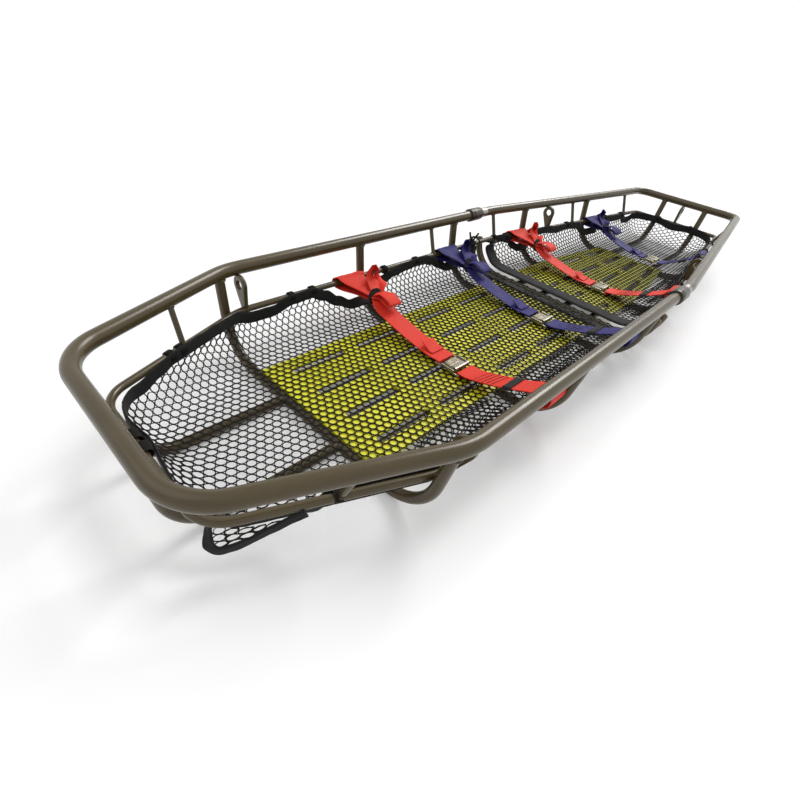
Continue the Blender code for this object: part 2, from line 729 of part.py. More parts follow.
def on_side(sign, ends, height):
    """Plan points of a left wall's edge, at a height, on the side that the sign names."""
    points = [(x_at(station), sign * y, height) for station, y in ends]
    return points if sign > 0 else points[::-1]


def make_nets(strap_stations):
    """The net liner of each half: a floor and the walls that rise from it to the mid rail."""
    top_inset, top_height = net_top_line()
    low = inset_corners(FLOOR_INSET)
    high = inset_corners(top_inset)
    head_trim = (HEAD_BEND - MID_INSET) * HEAD_TRIM_SHARE
    shoulder_trim = (SHOULDER_BEND - MID_INSET) * SHOULDER_TRIM_SHARE
    foot_trim = FOOT_BEND / 2
    shoulder_run = (Vector(high[1]) - Vector(high[0])).normalized()
    taper_run = (Vector(high[3]) - Vector(high[2])).normalized()
    shoulder_low = Vector(high[0]) + shoulder_run * head_trim
    shoulder_high = Vector(high[1]) - shoulder_run * shoulder_trim
    taper_end = Vector(high[3]) - taper_run * foot_trim
    foot_low_y = width_at(NET_FOOT_START, FLOOR_INSET)
    foot_high_y = width_at(NET_FOOT_START, top_inset)

    edge = NET_THICKNESS / 2
    head_left = [(NET_HEAD_END, low[1][1]), low[1], low[0]]
    foot_left = [(NET_FOOT_START, foot_low_y), low[3]]
    for name, left in (("net_head_floor", head_left), ("net_foot_floor", foot_left)):
        outline = [(x_at(s), y - edge) for s, y in left] + [(x_at(s), edge - y) for s, y in left[::-1]]
        make_net_panel(name, outline, Matrix.Translation((0, 0, NET_LEVEL)), 0.0, 0.0)

    walls = (
        ("head_side", head_left[:2],
         [(NET_HEAD_END, high[1][1]), (high[1][0] + shoulder_trim, high[1][1])], strap_stations["head"]),
        ("head_shoulder", head_left[1:], [shoulder_high, shoulder_low], ()),
        ("foot_side", foot_left[::-1], [taper_end, (NET_FOOT_START, foot_high_y)],
         strap_stations["foot"]),
    )
    for side, sign in SIDES:
        for label, low_ends, high_ends, dips in walls:
            make_net_wall(f"net_{label}_{side}", on_side(sign, low_ends, NET_LEVEL),
                          on_side(sign, high_ends, top_height), dips)
    for name, corner, trim, sign in (("net_head_end", 0, head_trim, 1), ("net_foot_end", 3, foot_trim, -1)):
        station, y = low[corner]
        top_station, top_y = high[corner]
        make_net_wall(
            name,
            [(x_at(station), sign * y, NET_LEVEL), (x_at(station), -sign * y, NET_LEVEL)],
            [(x_at(top_station), sign * (top_y - trim), top_height),
             (x_at(top_station), -sign * (top_y - trim), top_height)],
        )


def ribbon(path, thickness):
    """The two edges of a band of webbing seen end on, along a path of (y, z) points."""
    upper, lower = [], []
    for k, point in enumerate(path):
        before, after = path[max(k - 1, 0)], path[min(k + 1, len(path) - 1)]
        along = (Vector(after) - Vector(before)).normalized()
        side = Vector((-along.y, along.x)) * thickness / 2
        upper.append(tuple(Vector(point) + side))
        lower.append(tuple(Vector(point) - side))
    return upper, lower


def bar_hole_radius():
    """The hole in a webbing loop that goes round a square bar of a buckle."""
    return math.hypot(BUCKLE_BAR, BUCKLE_THICKNESS) / 2 + STRAP_RING_SLACK


def strap_ring(name, radius, count, width, direction, centre, start=0.0):
    """A short cylinder along a bar: the outside or the hole of a webbing loop."""
    across = Vector((-direction.y, direction.x, 0.0))
    mesh = plate_mesh(name, [circle(0.0, 0.0, radius, count, start)], width)
    mesh.transform(frame_matrix(across, (0, 0, 1), direction, centre))
    return add_cutter(name, mesh)


def make_strap_half(name, finish, station, sign, bar_y, bar_z):
    """Webbing looped round the mid rail, sagging to a ring round one bar of the buckle."""
    x, rail_y = x_at(station), sign * width_at(station, MID_INSET)
    half = STRAP_WIDTH / 2
    slope = (width_at(station + half) - width_at(station - half)) / STRAP_WIDTH
    rail_run = Vector((1.0, sign * slope, 0.0)).normalized()
    rail_hole = MID_RADIUS + STRAP_RING_SLACK
    bar_hole = bar_hole_radius()
    rail_outer = rail_hole + STRAP_THICKNESS
    bar_outer = bar_hole + STRAP_THICKNESS
    start_y = rail_y - sign * rail_outer * STRAP_LEAVES_Y
    start_z = MID_HEIGHT + rail_outer * STRAP_LEAVES_Z
    end_y = bar_y + sign * bar_outer * STRAP_MEETS_Y
    path = []
    for k in range(STRAP_STEPS + 1):
        share = k / STRAP_STEPS
        fall = (1 - share) ** STRAP_SAG_POWER
        path.append((start_y + (end_y - start_y) * share, bar_z + (start_z - bar_z) * fall))
    upper, lower = ribbon(path, STRAP_THICKNESS)
    mesh = plate_mesh(name, [upper + lower[::-1]], STRAP_WIDTH)
    mesh.transform(frame_matrix((0, 1, 0), (0, 0, 1), (1, 0, 0), (x, 0.0, 0.0)))
    strap = add_part(name, mesh, finish, smooth=False)
    loops = (
        ("rail", rail_run, (x, rail_y, MID_HEIGHT), rail_hole, rail_outer),
        ("bar", Vector((1.0, 0.0, 0.0)), (x, bar_y, bar_z), bar_hole, bar_outer),
    )
    for label, run, centre, hole, outer in loops:
        ring = strap_ring(f"{name}_{label}_loop", outer, LOOP_SIDES, STRAP_WIDTH, run, centre,
                          math.pi / LOOP_SIDES)
        boolean(strap, ring, "UNION")
    for label, run, centre, hole, outer in loops:
        bore = strap_ring(f"{name}_{label}_hole", hole, LOOP_HOLE_SIDES, BORE_OVERRUN * STRAP_WIDTH,
                          run, centre)
        boolean(strap, bore, "DIFFERENCE")


def make_buckle(name, station, bar_z):
    """A flat frame with a round bar at each end, and a spring lever between two ears."""
    half_length = BUCKLE_LENGTH / 2
    half_width = BUCKLE_WIDTH / 2
    x = x_at(station)
    low_z, high_z = bar_z - BUCKLE_THICKNESS / 2, bar_z + BUCKLE_THICKNESS / 2
    bar_inset = BUCKLE_BAR + BUCKLE_SLOT
    rim = (BUCKLE_WIDTH - STRAP_WIDTH) / 2 - STRAP_BODY_GAP
    plate = [(-half_width, -half_length), (half_width, -half_length),
             (half_width, half_length), (-half_width, half_length)]
    outlines = [plate]
    for sign in (1, -1):
        slot_ends = sorted((sign * (half_length - BUCKLE_BAR), sign * (half_length - bar_inset)))
        outlines.append([(rim - half_width, slot_ends[0]), (half_width - rim, slot_ends[0]),
                         (half_width - rim, slot_ends[1]), (rim - half_width, slot_ends[1])])
    mesh = plate_mesh(f"{name}_frame", outlines, BUCKLE_THICKNESS)
    mesh.transform(Matrix.Translation((x, BUCKLE_Y, bar_z)))
    frame = add_part(f"{name}_frame", mesh, STEEL, smooth=False)
    pivot_y = BUCKLE_Y - LEVER_LENGTH / 2
    pivot_z = high_z + CLEAR + LEVER_BARREL
    ear_reach = LEVER_BARREL + EAR_MARGIN
    for side, sign in SIDES:
        inner = x + sign * (LEVER_WIDTH / 2 + CLEAR)
        outer = inner + sign * EAR_THICKNESS
        low = (min(inner, outer), pivot_y - ear_reach, low_z + BUCKLE_THICKNESS / 2)
        high = (max(inner, outer), pivot_y + ear_reach, pivot_z + ear_reach)
        boolean(frame, add_cutter(f"{name}_ear_{side}", box_mesh("ear", low, high)), "UNION")
    reach = LEVER_WIDTH / 2 + CLEAR + EAR_THICKNESS
    bore = rod_mesh("pin_bore", LEVER_PIN + CLEAR, (x - 2 * reach, pivot_y, pivot_z),
                    (x + 2 * reach, pivot_y, pivot_z))
    boolean(frame, add_cutter(f"{name}_pin_bore", bore), "DIFFERENCE")
    half = LEVER_WIDTH / 2
    barrel = rod_mesh(f"{name}_lever", LEVER_BARREL, (-half, 0, 0), (half, 0, 0))
    lever = add_part(f"{name}_lever", barrel, STEEL)
    lever.location = (x, pivot_y, pivot_z)
    tongue = box_mesh("tongue", (-half, 0.0, -LEVER_BARREL),
                      (half, LEVER_LENGTH, LEVER_THICKNESS - LEVER_BARREL))
    pin = rod_mesh("pin", LEVER_PIN, (-reach, 0, 0), (reach, 0, 0))
    for label, piece in (("tongue", tongue), ("pin", pin)):
        cutter = add_cutter(f"{name}_{label}", piece)
        cutter.location = lever.location
        boolean(lever, cutter, "UNION", "MANIFOLD")


def make_straps():
    """Four straps: each has a webbing half from either mid rail and a buckle between them."""
    plans = (
        ("strap_1", RED, HEAD_RIBS[1] - STRAP_RIB_OFFSET),
        ("strap_2", BLUE, HEAD_RIBS[2] - STRAP_RIB_OFFSET),
        ("strap_3", RED, FOOT_RIBS[0] - STRAP_RIB_OFFSET),
        ("strap_4", BLUE, FOOT_RIBS[1] + STRAP_RIB_OFFSET),
    )
    bar_z = NET_TOP + CLEAR + bar_hole_radius() + STRAP_THICKNESS
    stations = {"head": [], "foot": []}
    for name, finish, station in plans:
        stations["head" if station < SPLIT_STATION else "foot"].append(station)
        half_length = (BUCKLE_LENGTH - BUCKLE_BAR) / 2
        make_buckle(f"{name}_buckle", station, bar_z)
        for side, sign in SIDES:
            bar_y = BUCKLE_Y + sign * half_length
            make_strap_half(f"{name}_{side}", finish, station, sign, bar_y, bar_z)
    return stations


clear_scene()
PARTS = new_collection("split_basket_stretcher")
CUTTERS = new_collection("cutters")
top_rails, mid_rails, top_rail_cutters, mid_rail_cutters = make_rails()
make_couplings(top_rails)
make_ribs(top_rail_cutters, mid_rail_cutters)
make_end_hoops(top_rail_cutters, mid_rail_cutters)
make_rods(mid_rails, top_rail_cutters, mid_rail_cutters)
make_lugs(top_rail_cutters, mid_rail_cutters)
make_sheets()
make_nets(make_straps())
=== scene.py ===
"""Dresses the split basket stretcher: fine tubes, a knotless net, webbing straps and finishes."""

import math

import bmesh
import bpy
from mathutils import Matrix, Vector, noise


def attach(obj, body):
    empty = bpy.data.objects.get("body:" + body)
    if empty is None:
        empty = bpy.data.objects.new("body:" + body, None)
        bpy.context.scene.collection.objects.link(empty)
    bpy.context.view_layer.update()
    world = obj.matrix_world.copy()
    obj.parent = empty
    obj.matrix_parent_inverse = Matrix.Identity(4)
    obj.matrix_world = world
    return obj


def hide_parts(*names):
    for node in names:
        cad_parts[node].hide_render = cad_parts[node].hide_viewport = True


bl_info = {
    "name": "Split Basket Stretcher",
    "version": (1, 0, 0),
    "blender": (4, 5, 0),
    "location": "View3D > Sidebar > Stretcher",
    "description": "Builds the dressed pieces of a split basket stretcher over its solid frame",
    "category": "Object",
}

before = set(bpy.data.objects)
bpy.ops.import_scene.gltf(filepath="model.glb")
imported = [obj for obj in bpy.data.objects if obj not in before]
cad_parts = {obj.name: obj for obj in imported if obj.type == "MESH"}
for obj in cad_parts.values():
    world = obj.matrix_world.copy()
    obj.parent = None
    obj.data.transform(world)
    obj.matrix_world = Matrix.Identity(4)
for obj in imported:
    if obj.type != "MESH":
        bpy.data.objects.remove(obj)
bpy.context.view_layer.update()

X, Y, Z = Vector((1, 0, 0)), Vector((0, 1, 0)), Vector((0, 0, 1))
# Each half with the way its closed end faces along X, and each side with its sign along Y
HALVES = (("head", -1), ("foot", 1))
SIDES = (("left", 1), ("right", -1))

# The plan of the rails, the same as in the solid frame. A station is a distance from the head end
LENGTH = 2.100
HALF_WIDTH = 0.289
HEAD_HALF_WIDTH = 0.159
FOOT_HALF_WIDTH = 0.180
SHOULDER = 0.311
TAPER = 1.175
HEAD_BEND = 0.085
SHOULDER_BEND = 0.150
TAPER_BEND = 0.150
FOOT_BEND = 0.045
RAIL_Z = 0.165
MID_Z = 0.092
MID_INSET = 0.0279
SPLIT = 1.112
SPLIT_GAP = 0.0003
MID_BREAK = 0.008

# Ribs, hoops, rods, their welds and the collars
RIB_BEND = 0.092
RIB_TOP_INSET = 0.001
RIB_LEAN = 0.156
FLOOR_CORNER_INSET = 0.0253
FLOOR_INSET = 0.1040
HOOPS = {
    "head": (("rib_head_1", 0.295), ("rib_head_2", 0.652), ("rib_head_3", 1.005),
             ("split_hoop_head", 1.098)),
    "foot": (("split_hoop_foot", 1.142), ("rib_foot_1", 1.350), ("rib_foot_2", 1.706)),
}
RIBS = {half: [s for node, s in rows if node.startswith("rib")] for half, rows in HOOPS.items()}
SHORT_HOOP_RISE = 0.003
END_HOOP_Y = 0.075
RODS = {"head": (0.180, 0.906), "foot": (1.193, 1.615, 1.974)}
STRINGER_LINES = (0.0387, 0.117)
STRINGER_RADIUS = 0.0088
STRINGER_DROP = 0.0004
BEAD_RADIUS, ROD_BEAD_RADIUS = 0.0020, 0.0015
BEAD_PROUD = 0.0004
RIB_BEAD_SINK, ROD_TOP_SINK, ROD_FOOT_SINK = 0.001, 0.0006, 0.0004
COLLAR_RADIUS = 0.0170
COLLAR_PLAY = 0.00035
BARE_START = 0.0135
BARE_LENGTH = 0.026
BARE_PROUD = 0.0001

# The lifting lugs: points of their plates are a distance inwards and a height from the rail
LUG_STATIONS = (("head", 0.333), ("foot", 1.464))
LUG_HEAD = (0.017, -0.026)
LUG_FOOT = (MID_INSET, -0.073)
LUG_RING = 0.0185
LUG_FOOT_RING = 0.006
LUG_HOLE = 0.009
LUG_THICKNESS = 0.0078

# The bed and its nets. A net's stated area is both faces of its cords, or if that is less, the least
# share of its cut that can be stated
SHEET_HALF_WIDTH = 0.155
SHEET_MARGIN = 0.008
NET_SQUASH = 0.92
KEEP_MARGIN = 0.004
HEAD_NET_END = 1.085
FOOT_NET_START = 1.178
CORD_FLATNESS = 0.62
LAYER_LIFT = 0.0034
FOLD_BACK, FOLD_OVER, FOLD_SIDE, FOLD_DROOP = 0.058, 0.046, 0.034, 0.0030
STRAP_CLEARANCE = 0.036
HEM_THICKNESS = 0.0034
HEM_STEP = 0.006
LACE_INSET = 0.0022
LACE_CORD, LACE_WIDE, LACE_HIGH = 0.0014, 0.0096, 0.0086
KNOT_STATION = 1.076

# The bound edge across each half's bed: its shift along the bed, width and thickness
CROSS_BINDINGS = {"head": (-0.0001, 0.022, 0.0045), "foot": (-0.0085, 0.044, 0.0062)}

# The straps, by number, colour and station, and their buckles
STRAPS = ((1, "red", 0.616), (2, "blue", 0.969), (3, "red", 1.314), (4, "blue", 1.742))
WEBBING_THICKNESS = 0.0022
BUCKLE_Y = -0.060
BUCKLE_Z = 0.0337
BAR_REACH = 0.0285
BAR_WRAP = 0.0044
KNOT_SHARE = 0.735
LEVER_BACK = 0.015
LEVER_LIFT = 0.0055
LEVER_HALF = 0.0168
PLATE_HALF_WIDTH, PLATE_HALF_LENGTH = 0.0275, 0.0308
PLATE_THICKNESS = 0.0032
CHEEK_WIDTH = 0.0024
CHEEK_HEIGHT = 0.0050
EAR_RADIUS = 0.0042
EAR_IN, EAR_OUT = 0.0174, 0.0212

# A strap's sling over the far rail: Y and height from the rail's centre line, and its width
SLING = (
    (-0.0125, 0.0105, 0.072), (-0.003, 0.0125, 0.080), (0.0080, 0.0085, 0.082), (0.0110, -0.001, 0.082),
    (0.0060, -0.0095, 0.080), (-0.0050, -0.0115, 0.072),
)

# A strap's loose loop round the near rail: Y and height from the rail's centre line
LOOP = (
    (0.010, 0.0125), (0.000, 0.0165), (-0.010, 0.0125), (-0.0145, 0.000), (-0.012, -0.0145),
    (-0.002, -0.021), (0.009, -0.017), (0.014, -0.006), (0.013, 0.003),
)

# The turned-back loop under each knot: how far down the strap, how high, how far aside, and its width
BIGHT = (
    (0.002, 0.004, 0.0, 0.020), (0.016, 0.008, 1.0, 0.030), (0.034, 0.012, 1.0, 0.036),
    (0.052, 0.014, 1.0, 0.037), (0.062, 0.021, 1.0, 0.037), (0.054, 0.028, 1.0, 0.036),
    (0.036, 0.027, 1.0, 0.034), (0.016, 0.018, 1.0, 0.028), (0.001, 0.010, 0.0, 0.020),
)
BIGHT_SHIFT = 0.010

# How far the net's hem hangs below its full height, by station along the left and right walls
HEM_FAR = {
    "head": (
        (0.060, 0.012), (0.085, 0.014), (0.120, 0.006), (0.150, 0.0), (0.240, 0.0), (0.295, 0.002),
        (0.345, 0.015), (0.390, 0.015), (0.440, 0.003), (0.490, 0.001), (0.525, 0.016), (0.560, 0.037),
        (0.590, 0.053), (0.638, 0.053), (0.660, 0.042), (0.700, 0.022), (0.745, 0.010), (0.790, 0.003),
        (0.830, 0.0), (0.860, 0.001), (0.895, 0.010), (0.925, 0.024), (0.950, 0.038), (0.988, 0.038),
        (1.010, 0.024), (1.040, 0.008), (1.085, 0.0),
    ),
    "foot": (
        (1.178, 0.0), (1.225, 0.0), (1.255, 0.008), (1.280, 0.030), (1.300, 0.040), (1.340, 0.040),
        (1.362, 0.020), (1.390, 0.004), (1.440, 0.0), (1.510, 0.006), (1.580, 0.001), (1.640, 0.006),
        (1.670, 0.024), (1.705, 0.036), (1.760, 0.036), (1.790, 0.014), (1.830, 0.002), (1.900, 0.006),
        (1.950, 0.004), (1.975, 0.020), (2.005, 0.022), (2.030, 0.008), (2.070, 0.006),
    ),
}
HEM_NEAR = {
    "head": (
        (0.060, 0.050), (0.120, 0.044), (0.155, 0.024), (0.178, 0.002), (0.230, 0.004), (0.295, 0.0),
        (0.330, 0.004), (0.370, 0.0), (0.430, 0.010), (0.490, 0.0), (0.530, 0.016), (0.562, 0.036),
        (0.590, 0.046), (0.640, 0.046), (0.668, 0.036), (0.700, 0.016), (0.760, 0.008), (0.830, 0.0),
        (0.880, 0.006), (0.925, 0.024), (0.950, 0.036), (0.988, 0.036), (1.015, 0.020), (1.045, 0.004),
        (1.085, 0.0),
    ),
    "foot": HEM_FAR["foot"],
}
# The same along the head end's and the foot end's walls, by Y
HEM_END = {
    "head": (
        (-0.150, 0.050), (-0.110, 0.046), (-0.080, 0.030), (-0.045, 0.014), (-0.010, 0.008), (0.030, 0.002),
        (0.060, 0.006), (0.105, 0.012), (0.150, 0.012),
    ),
    "foot": ((-0.150, 0.006), (-0.060, 0.002), (0.000, 0.010), (0.060, 0.002), (0.150, 0.006)),
}
# Where the hem is laced to the mid rail: stations along the sides, Y across the ends
TIES_FAR = {
    "head": (0.150, 0.172, 0.440, 0.495, 0.715, 0.830, 1.072),
    "foot": (1.190, 1.245, 1.395, 1.575, 1.825, 1.945),
}
TIES_NEAR = {
    "head": (0.178, 0.370, 0.490, 0.830, 1.060),
    "foot": (1.190, 1.245, 1.400, 1.580, 1.825, 1.945),
}
TIES_END = {"head": (0.040, 0.010), "foot": (0.060, -0.060)}
# The flap of net that hangs under the mid rail at the near head corner: station, Y and height
FLAP_TOP = ((0.045, -0.128, 0.084), (0.058, -0.152, 0.084), (0.080, -0.169, 0.084), (0.105, -0.181, 0.084),
            (0.135, -0.194, 0.085))
FLAP_EDGE = ((0.045, -0.128, 0.084), (0.034, -0.138, 0.060), (0.035, -0.143, 0.048), (0.046, -0.150, 0.042),
             (0.068, -0.160, 0.047), (0.090, -0.170, 0.058), (0.115, -0.183, 0.074), (0.135, -0.194, 0.085))

# The loose net along the near wall: its stations, its reach across the flat net and how far it is bunched
SLACK = {"head": (0.375, 1.060), "foot": (1.225, 1.640)}
SLACK_LOW, SLACK_HIGH = -0.262, -0.158
SLACK_SQUASH = 0.60

# Finishes: how far the roughness drifts to each side, and how deep the grain and the weave are
ROUGH_DRIFT = 0.06
GRAIN_DEPTH = 0.0006
WEAVE_DEPTH = 0.0005

# Light: the world's strength on surfaces, the floor's own glow to the camera, and the lamps' name,
# the side that they shine from, width in degrees and strength
WORLD_LIGHT = 0.62
FLOOR_GLOW = 0.19
LAMPS = (
    ("KeyLight", (0.74, 0.09, 0.66), 26.0, 1.75),
    ("FillLight", (-0.50, 0.40, 0.90), 50.0, 0.36),
)
LAMP_DISTANCE = 3.0
FLOOR_SIZE = 60.0
CAMERA_PLACE = (-1.1258, -0.4594, 0.5436)
CAMERA_TURN = (49.777, -6.844, -44.195)
CAMERA_LENS = 20.38
CAMERA_SHIFT = (0.0261, 0.0109)


def x_at(station):
    """The X of a station."""
    return station - LENGTH / 2


def sizes():
    """The sizes that the panel shows."""
    return bpy.context.scene.stretcher_sizes


def finishes():
    """The colours that the panel shows."""
    return bpy.context.scene.stretcher_finishes


def bent_path(corners, radii, degrees_per_step=5.0):
    """The corners joined by straight runs, each inner corner rounded to its radius."""
    path = [Vector(corners[0])]
    for before, corner, after, radius in zip(corners, corners[1:], corners[2:], radii):
        before, corner, after = Vector(before), Vector(corner), Vector(after)
        back, ahead = (before - corner).normalized(), (after - corner).normalized()
        turn = math.pi - back.angle(ahead)
        reach = radius * math.tan(turn / 2)
        centre = corner + (back + ahead).normalized() * (radius / math.cos(turn / 2))
        first, last = corner + back * reach - centre, corner + ahead * reach - centre
        steps = max(3, math.ceil(math.degrees(turn) / degrees_per_step))
        for k in range(steps + 1):
            share = k / steps
            path.append(
                centre
                + first * (math.sin((1 - share) * turn) / math.sin(turn))
                + last * (math.sin(share * turn) / math.sin(turn))
            )
    path.append(Vector(corners[-1]))
    return path


def inset_corners(inset):
    """Corners of the plan outline's left side, moved in from the top rail's centre line."""
    shoulder = math.atan2(HALF_WIDTH - HEAD_HALF_WIDTH, SHOULDER)
    taper = math.atan2(HALF_WIDTH - FOOT_HALF_WIDTH, LENGTH - TAPER)
    shoulder_drop, taper_drop = inset / math.cos(shoulder), inset / math.cos(taper)
    return (
        (inset, HEAD_HALF_WIDTH + inset * math.tan(shoulder) - shoulder_drop),
        (SHOULDER + (shoulder_drop - inset) / math.tan(shoulder), HALF_WIDTH - inset),
        (TAPER - (taper_drop - inset) / math.tan(taper), HALF_WIDTH - inset),
        (LENGTH - inset, FOOT_HALF_WIDTH + inset * math.tan(taper) - taper_drop),
    )


def width_at(station, inset=0.0):
    """Half width of the plan outline at a station."""
    corners = inset_corners(inset)
    for (s0, y0), (s1, y1) in zip(corners, corners[1:]):
        if station <= s1:
            return y0 + (y1 - y0) * (station - s0) / (s1 - s0)
    return corners[-1][1]


def end_loop(half, inset, height, station):
    """Path round one end, from the left side to the right, open at the station."""
    head, shoulder, taper, foot = inset_corners(inset)
    if half == "head":
        side, end, bends = shoulder, head, (SHOULDER_BEND - inset, HEAD_BEND - inset)
    else:
        side, end, bends = taper, foot, (TAPER_BEND, FOOT_BEND - inset)
    corners = [(x_at(s), y, height) for s, y in ((station, side[1]), side, end)]
    corners += [(x, -y, z) for x, y, z in reversed(corners)]
    return bent_path(corners, [*bends, *bends[::-1]])


def hoop_path(station, top, radius):
    """A rib: down one side, across the floor and up the other side."""
    x, edge = x_at(station), width_at(station)
    high = edge - RIB_TOP_INSET - RIB_LEAN * (RAIL_Z - top)
    low = edge - FLOOR_CORNER_INSET
    corners = [(x, high, top), (x, low, radius), (x, -low, radius), (x, -high, top)]
    return bent_path(corners, (RIB_BEND, RIB_BEND), 6.0)


def smooth_path(points, steps):
    """A smooth curve through the points."""
    points = [Vector(p) for p in points]
    ends = [2 * points[0] - points[1], *points, 2 * points[-1] - points[-2]]
    path = []
    for a, b, c, d in zip(ends, ends[1:], ends[2:], ends[3:]):
        for k in range(steps):
            t = k / steps
            square, cube = 2 * a - 5 * b + 4 * c - d, 3 * b - a - 3 * c + d
            path.append(0.5 * (2 * b + (c - a) * t + square * t**2 + cube * t**3))
    path.append(points[-1])
    return path


def read_table(table, key):
    """A value between the rows of a table, eased so that it has no corners."""
    if key <= table[0][0]:
        return table[0][1]
    for (a, low), (b, high) in zip(table, table[1:]):
        if key <= b:
            share = (key - a) / (b - a)
            return low + (high - low) * share * share * (3 - 2 * share)
    return table[-1][1]


def place_frame(side, up, along, point):
    """The placement whose local X, Y and Z point along the three directions."""
    matrix = Matrix((side, up, along)).transposed().to_4x4()
    matrix.translation = point
    return matrix


def path_frames(path, up=Z):
    """Placements along a path: local Z runs along it and local Y leans towards up."""
    ups = up if isinstance(up, list) else [up] * len(path)
    frames = []
    for k, point in enumerate(path):
        along = (path[min(k + 1, len(path) - 1)] - path[max(k - 1, 0)]).normalized()
        side = ups[k].cross(along).normalized()
        frames.append(place_frame(side, along.cross(side), along, point))
    return frames


def arc(start, turn, steps):
    """Cosine and sine at equal steps of a turn, with both of its ends."""
    angles = [start + turn * k / steps for k in range(steps + 1)]
    return [(math.cos(angle), math.sin(angle)) for angle in angles]


def round_section(radius, sides):
    """A tube's section."""
    return [(radius * u, radius * v) for u, v in arc(0.0, 2 * math.pi, sides)[:-1]]


def flat_section(width, thickness, cuts=6):
    """A band's section with round edges, cut across so that it can bend."""
    half, edge = width / 2, thickness / 2
    run = half - edge
    top = [(run - 2 * run * k / cuts, edge) for k in range(cuts + 1)]
    return [(half, 0.0), *top, (-half, 0.0), *[(-x, -y) for x, y in top]]


def standing_section(width, thickness):
    """The same, with the band's width upwards."""
    return [(v, u) for u, v in flat_section(width, thickness)]


def new_verts(made):
    """The vertices among what an operator made."""
    return [g for g in made if isinstance(g, bmesh.types.BMVert)]


def close_loop(body, verts):
    """Edges that join the vertices into a ring."""
    return [body.edges.new(pair) for pair in zip(verts, verts[1:] + verts[:1])]


def raise_faces(body, faces, way):
    """Extrudes the faces, moves the new ones and returns what was made."""
    made = bmesh.ops.extrude_face_region(body, geom=faces)["geom"]
    bmesh.ops.translate(body, vec=way, verts=new_verts(made))
    return made


def round_rims(body, least_angle, radius, segments):
    """Rounds the edges that turn by more than an angle."""
    rims = [e for e in body.edges if len(e.link_faces) == 2 and e.calc_face_angle() > least_angle]
    bmesh.ops.bevel(body, geom=rims, offset=radius, segments=segments, profile=0.5, affect="EDGES",
                    material=-1)


def crumple(body, amount, scale):
    """Moves both faces of a thin piece together by a soft unevenness."""
    for vertex in body.verts:
        vertex.co += amount * noise.noise_vector(vertex.co * scale)


def sweep(body, section, frames, scales=None):
    """Carries a closed section along the placements by extruding it, and closes both ends.

    Each scale is a pair, for the section's own two directions."""
    across = body.verts.layers.float.get("across") or body.verts.layers.float.new("across")
    along = body.verts.layers.float.get("along") or body.verts.layers.float.new("along")
    scales = scales or [(1.0, 1.0)] * len(frames)
    ring = bmesh.ops.create_circle(body, segments=len(section), radius=1.0, cap_ends=False)["verts"]
    travel, reach, before = 0.0, 0.0, section[-1]
    for vertex, (u, v) in zip(ring, section):
        reach += math.hypot(u - before[0], v - before[1])
        before = (u, v)
        vertex.co = Vector((u, v, 0.0))
        vertex[across] = reach
    grow = [Matrix.Diagonal((u, v, 1.0, 1.0)) for u, v in scales]
    placed = [f @ g for f, g in zip(frames, grow)]
    bmesh.ops.transform(body, matrix=placed[0], verts=ring)
    edges = list({e for v in ring for e in v.link_edges})
    ends = [edges]
    for k in range(1, len(placed)):
        travel += (frames[k].translation - frames[k - 1].translation).length
        grown = bmesh.ops.extrude_edge_only(body, edges=edges)["geom"]
        ring = new_verts(grown)
        edges = [g for g in grown if isinstance(g, bmesh.types.BMEdge) and g.is_boundary]
        bmesh.ops.transform(body, matrix=placed[k] @ placed[k - 1].inverted(), verts=ring)
        for vertex in ring:
            vertex[along] = travel
    ends.append(edges)
    for loop in ends:
        bmesh.ops.contextual_create(body, geom=loop)


def new_object(name, data):
    """An object of the data, linked to the scene."""
    made = bpy.data.objects.new(name, data)
    bpy.context.scene.collection.objects.link(made)
    return made


def piece_name(node):
    """The name of the piece that replaces a node."""
    return "".join(word.title() for word in node.split("_"))


def make_piece(name, body, finish, body_name, replaces=(), smooth=35.0):
    """Turns a bmesh into a finished piece that rides on a body of the frame."""
    along, across = (body.verts.layers.float.get(label) for label in ("along", "across"))
    if along:
        uv = body.loops.layers.uv.new("UVMap")
        widest = max(v[across] for v in body.verts)
        for face in body.faces:
            values = [loop.vert[across] for loop in face.loops]
            wraps = len(values) == 4 and max(values) - min(values) > widest / 2
            for loop in face.loops:
                u = loop.vert[across]
                if wraps and u < widest / 2:
                    u += widest
                loop[uv].uv = (u, loop.vert[along])
    bmesh.ops.recalc_face_normals(body, faces=body.faces)
    mesh = bpy.data.meshes.new(name)
    body.to_mesh(mesh)
    body.free()
    mesh.materials.append(finish)
    mesh.shade_smooth()
    mesh.set_sharp_from_angle(angle=math.radians(smooth))
    piece = new_object(name, mesh)
    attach(piece, body_name)
    if replaces:
        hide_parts(*replaces)
    return piece


def tape(name, section, frames, rumple, body_name):
    """A strip of black binding tape along the placements, made slightly uneven."""
    body = bmesh.new()
    sweep(body, section, frames)
    crumple(body, *rumple)
    make_piece(name, body, binding_tape(), body_name, smooth=50.0)


# Shader effects and finishes


def set_inputs(node, values):
    """Sets a node's inputs: their labels have underscores for spaces."""
    for label, value in values.items():
        node.inputs[label.replace("_", " ")].default_value = value


def add_node(tree, kind, **values):
    """A node with some of its inputs set."""
    node = tree.nodes.new(kind)
    set_inputs(node, values)
    return node


def use_group(tree, group, **values):
    """A node that stands for a group, with its inputs set."""
    node = tree.nodes.new("ShaderNodeGroup")
    node.node_tree = group
    set_inputs(node, values)
    return node


def mix_colours(tree, share, first):
    """A mix of the first colour and one that is set afterwards."""
    node = tree.nodes.new("ShaderNodeMix")
    node.data_type = "RGBA"
    tree.links.new(share, node.inputs["Factor"])
    tree.links.new(first, node.inputs["A"])
    return node


